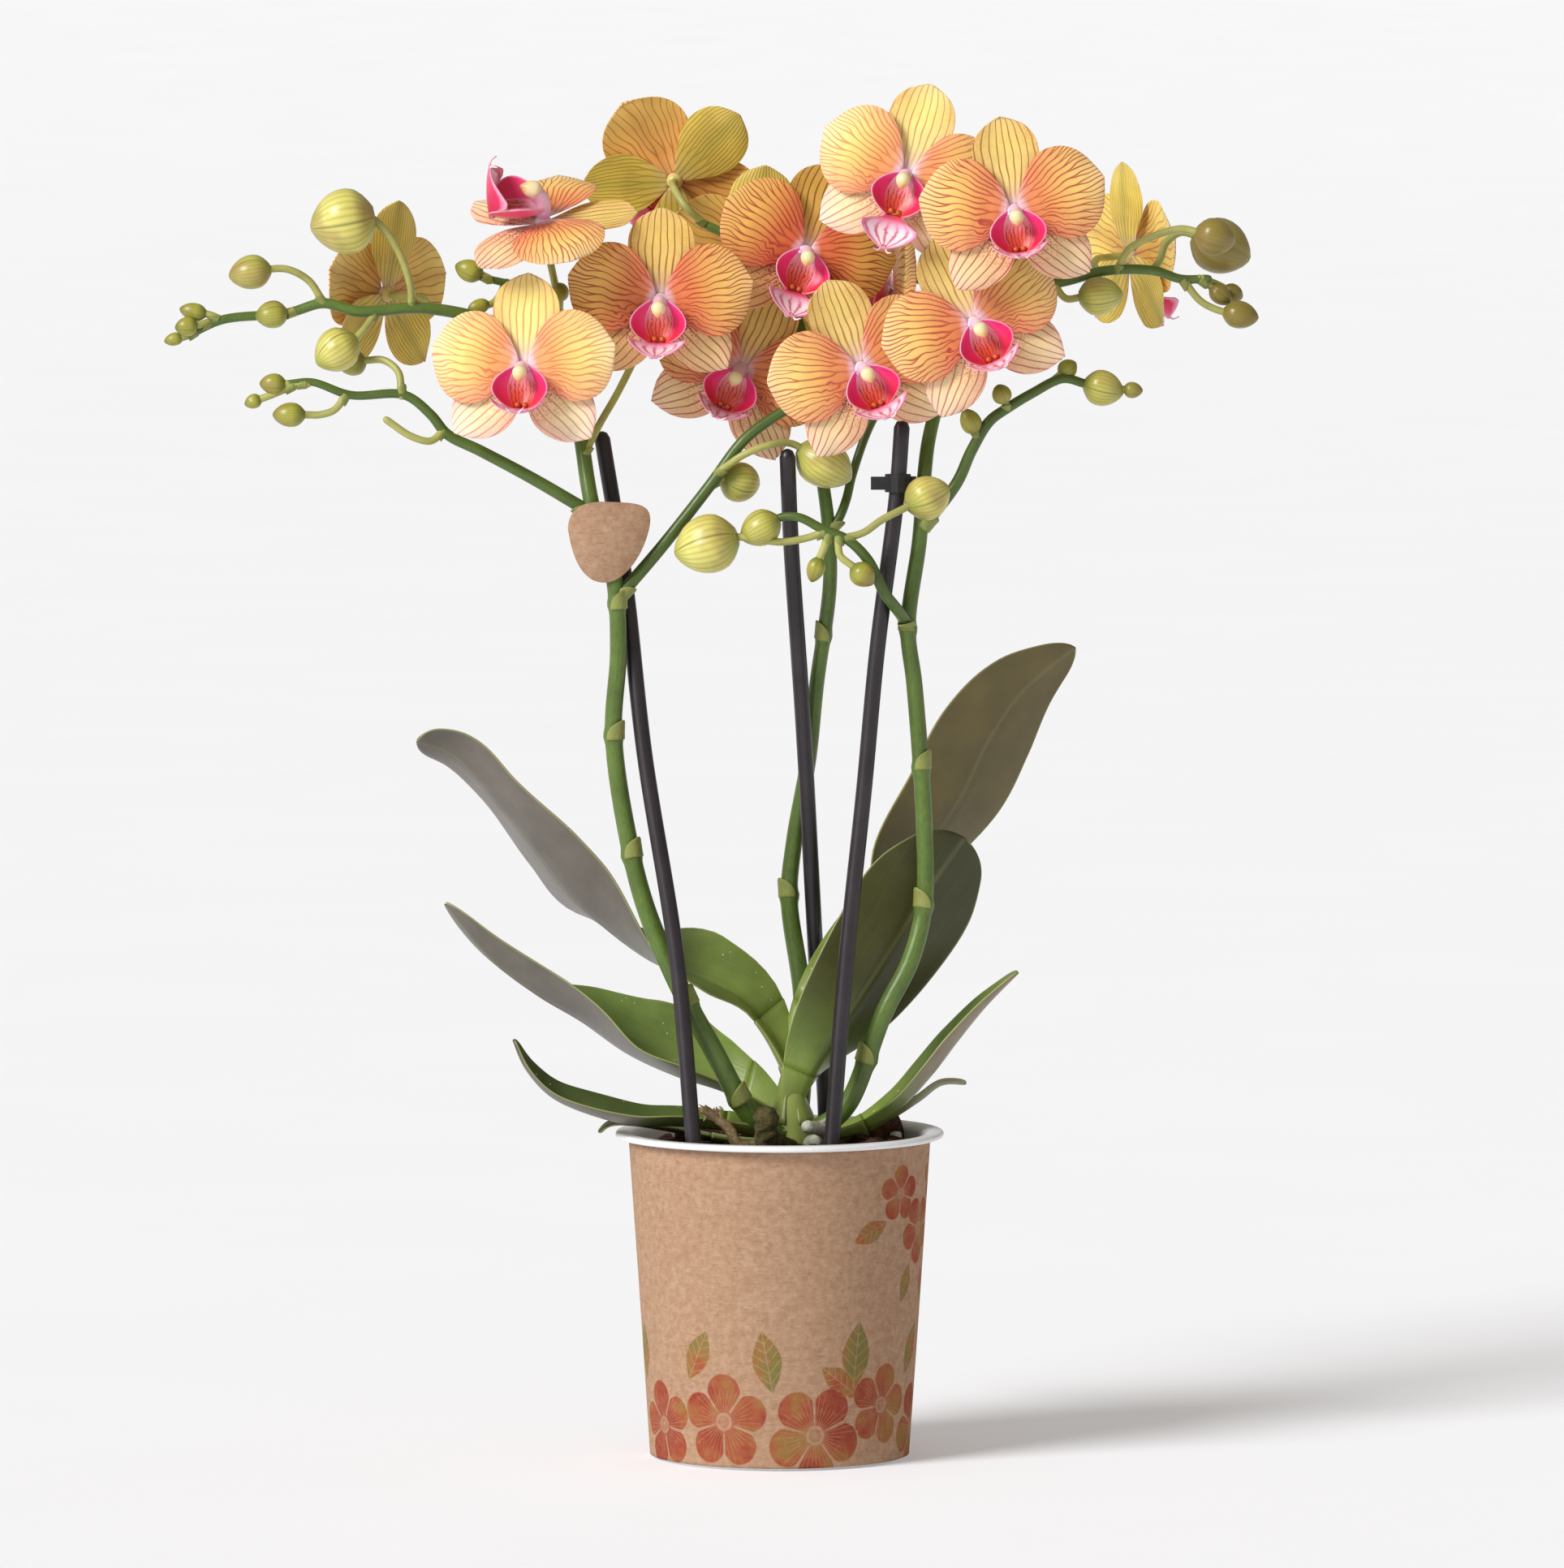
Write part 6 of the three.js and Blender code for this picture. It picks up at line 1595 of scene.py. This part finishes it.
# A nearly white blade with a few crimson stripes: it catches the light in front of the dark lobes.
TONGUE = lip_tissue("middle_lobe_waxy", [
    (0.0, "#D23A2C"), (0.12, "#DC4A72"), (0.3, "#F0B8CE"), (0.5, "#F8E2E8"), (0.85, "#F8DCE4"),
    (1.0, "#EC9CBA")], rim="#E283A8", rim_from=0.88, streak="#CC3468", streaks=2.6, wander=0.5)
TONGUE_UNDER = lip_tissue("middle_lobe_underside_waxy", [
    (0.0, "#D02A5E"), (0.3, "#D62458"), (0.7, "#DE3062"), (1.0, "#E0608E")],
    rim="#E8A0BC")
COLUMN = lip_tissue("column_waxy", [(0.0, "#E6A6CE"), (0.5, "#EFC9DE"), (1.0, "#E9B4CC")])
CAP = lip_tissue("anther_cap_waxy", [(0.0, "#E8C08A"), (0.35, "#F6E2B8"), (0.7, "#F3D7A0"),
                                     (1.0, "#D9935A")])

# A smooth wax bloom over the green rind: a narrow highlight runs down each stem, and fine streaks
# along it keep it from looking like painted wire.
STEM = green_skin("stem_rind_waxy", "#5F7832", "#4E6228", "#42541F", roughness=0.36)
STALK = green_skin("flower_stalk_rind_waxy", "#B4B468", "#8C8234", "#8F9046", roughness=0.38)
# Small dry scales at the joints, duller and browner than the stem they hug.
BRACT = green_skin("bract_papery", "#8F9A4E", "#857B44", "#6E6638", roughness=0.5)
# Tight, plump and polished, with three seams: buds catch rounder highlights than open petals.
BUD = bud_skin()

# Thick leathery blades with a tough cuticle: the faces mirror the light in long soft patches, the
# undersides stay dull and reddish grey. Sheaths pale towards the crown, where leaves grow.
SHEATH = leaf_face("leaf_sheath_leathery", (
    [(0.0, "#7F8644"), (0.3, "#A4B85C"), (0.7, "#A2B85A"), (0.97, "#90A54C"), (1.0, "#839846")],
    [(0.0, "#7F8644"), (0.3, "#8FA24C"), (0.97, "#7F9243"), (1.0, "#74883C")]),
    rib="#AEC066", line="#8DA24E", roughness=0.34)
# The pale flecks on the faces are partly painted highlight: small streaky glints drawn into the
# colour.
LEAF_FACE = leaf_face("leaf_face_leathery", (
    [(0.0, "#97AC50"), (0.1, "#7E943E"), (0.3, "#7A8E48"), (0.65, "#708644"), (1.0, "#738546")],
    [(0.0, "#7E9242"), (0.12, "#55672F"), (0.4, "#3E4E26"), (1.0, "#465428")]),
    rib="#7C9048", line="#4C5E30", roughness=0.3, flecks_and_glints=0.55)
# The colour of each underside towards its tip. The fifth, a near-black olive, is painted shade: it
# darkens a blade that turns away from the light.
UNDERSIDE_TIPS = ["#665F57", "#635E55", "#4F4A38", "#62572A", "#3C3E14", "#857C62", "#7A7A50",
                  "#5C6236"]
UNDERSIDES = [leaf_face(f"leaf_{i}_underside_matt", (
    [(0.0, "#8FA44C"), (0.12, "#6F8238"), (0.4, tip), (1.0, tip)],
    [(0.0, "#7E9242"), (0.1, "#56682E"), (0.35, tip), (1.0, tip)]),
    rib="#7C7A52", line="#5A5638", roughness=0.36) for i, tip in enumerate(UNDERSIDE_TIPS, 1)]
# Torn fibres, old brown stumps and silvery root skin: dry, dusty and light-scattering, the
# untidy foot that shows the plant has grown here for years.
# The fibres' pale colours are partly painted light: they are lifted to make up for the shade that
# falls on the broken root.
FIBRE = grainy("broken_root_fibrous", ["#A67F50", "#D2B88A", "#EFE2C2"], 2.5, 0.85, 0.4)
MOSS = grainy("old_root_mossy", ["#2E2415", "#4A3F22", "#5E5A2C", "#75563A"], 2.6, 0.95, 0.9)
VELAMEN = grainy("aerial_root_velamen", ["#93967F", "#B9BAA8", "#D2D1C2"], 3.5, 0.75, 0.25)

# Thin moulded polypropylene: satin, faintly milky, so its rim glows a little in the light.
POLYPROPYLENE = grainy("polypropylene_moulded", ["#E3E6E8", "#E9ECEE", "#EEF0F1"], 30, 0.32, 0.015,
                       fine=0.35, IOR=1.49, Subsurface_Weight=0.1, Subsurface_Scale=0.002)
# Extruded canes and a moulded clip in dark plastic: slightly rubbed, with one thin grey highlight.
STAKE = grainy("stake_plastic_extruded", ["#1F1A1E", "#282227", "#322A30"], 18, 0.36, 0.02)
CLIP = grainy("clip_plastic_moulded", ["#161417", "#1D1B1E", "#29262B"], 8, 0.45, 0.03)
# Broken pine bark, fibrous and without any shine, and perlite as white crumbs of popped glass.
BARK = grainy("pine_bark_broken", ["#1E0F0A", "#3A1F16", "#5A3322", "#7A4C33"], 3.2, 0.95, 0.9)
PERLITE = grainy("perlite_expanded", ["#D9D4C8", "#EFEDE6", "#FAF9F6"], 1.2, 0.9, 0.3)
# Uncoated recycled kraft: short fibres and specks break up a flat warm brown, and the water-based
# inks sink in, so the print stays matt and a little worn. The real fibres are some hundredths of a
# millimetre thick; these are drawn at half a millimetre so that they show.
PRINTED_KRAFT = kraft("kraft_paper_printed", printed=True)
PLAIN_KRAFT = kraft("kraft_paper_bare")

# The whole plant

pot()
sleeve()
mix()
crown()
for number, shape in enumerate(LEAVES, 1):
    leaf(number, **shape)
for side in STAKES:
    stake(side)
for side in SPIKES:
    spike(side)
for number, bloom in enumerate(BLOOMS, 1):
    petals(number, **bloom)
    lip(number, **bloom)
tag()
clip = frame["nodes"]["stem_clip"]
clip.data.materials.clear()
clip.data.materials.append(CLIP)

# Stage, light and camera


def floor():
    """A pale floor, flat under the pot and far round it, and rising a little in the distance."""
    rings = [(0.4, 0), (1.2, 0), (3.6, 0), (10, 0), (18, 0.2), (28, 0.9), (40, 2.2)]  # in metres
    sides = 64
    points = [Vector((0, 0, 0))]
    for radius, z in rings:
        points.extend(polar(radius, TURN * i / sides, z) for i in range(sides))
    faces = [(0, 1 + i, 1 + (i + 1) % sides) for i in range(sides)]
    for ring in range(len(rings) - 1):
        inner = 1 + sides * ring
        outer = inner + sides
        for i in range(sides):
            beside = (i + 1) % sides
            faces.append((inner + i, outer + i, outer + beside, inner + beside))
    mesh = bpy.data.meshes.new("floor")
    mesh.from_pydata(points, [], faces)
    mesh.polygons.foreach_set("use_smooth", [True] * len(faces))
    mesh.materials.append(grainy("floor_paper_matt", ["#F2F4F8", "#F5F7FB"], 200, 0.9, 0.02,
                                 Emission_Color="#FBFCFF", Emission_Strength=0.17))
    sheet = bpy.data.objects.new("floor", mesh)
    bpy.context.scene.collection.objects.link(sheet)


def soft_light(name, away, power, angle):
    """A large soft light, far off in the direction away; angle is how wide it looks, in degrees."""
    light = bpy.data.lights.new(name, "SUN")
    light.energy, light.angle = power, math.radians(angle)
    lamp = bpy.data.objects.new(name, light)
    lamp.rotation_euler = Vector(away).to_track_quat("Z", "Y").to_euler()
    bpy.context.scene.collection.objects.link(lamp)


floor()
soft_light("key", away=(-1.43, -1.2, 1.17), power=3.1, angle=24)
world = bpy.data.worlds.new("studio")
world.use_nodes = True
around = world.node_tree.nodes["Background"].inputs
around["Color"].default_value = linear("#FFF6EC")
around["Strength"].default_value = 0.34
bpy.context.scene.world = world
bpy.context.scene.view_settings.view_transform = "Standard"

CAMERA_AT = Vector((0.75, -3500, 450))
CAMERA_AIM = Vector((0.75, 0, 208))
camera = bpy.data.objects.new("camera", bpy.data.cameras.new("camera"))
camera.data.lens, camera.data.sensor_width, camera.data.clip_end = 261.5, 36, 100
camera.location = CAMERA_AT * MM
camera.rotation_euler = (CAMERA_AIM - CAMERA_AT).to_track_quat("-Z", "Y").to_euler()
bpy.context.scene.collection.objects.link(camera)
bpy.context.scene.camera = camera
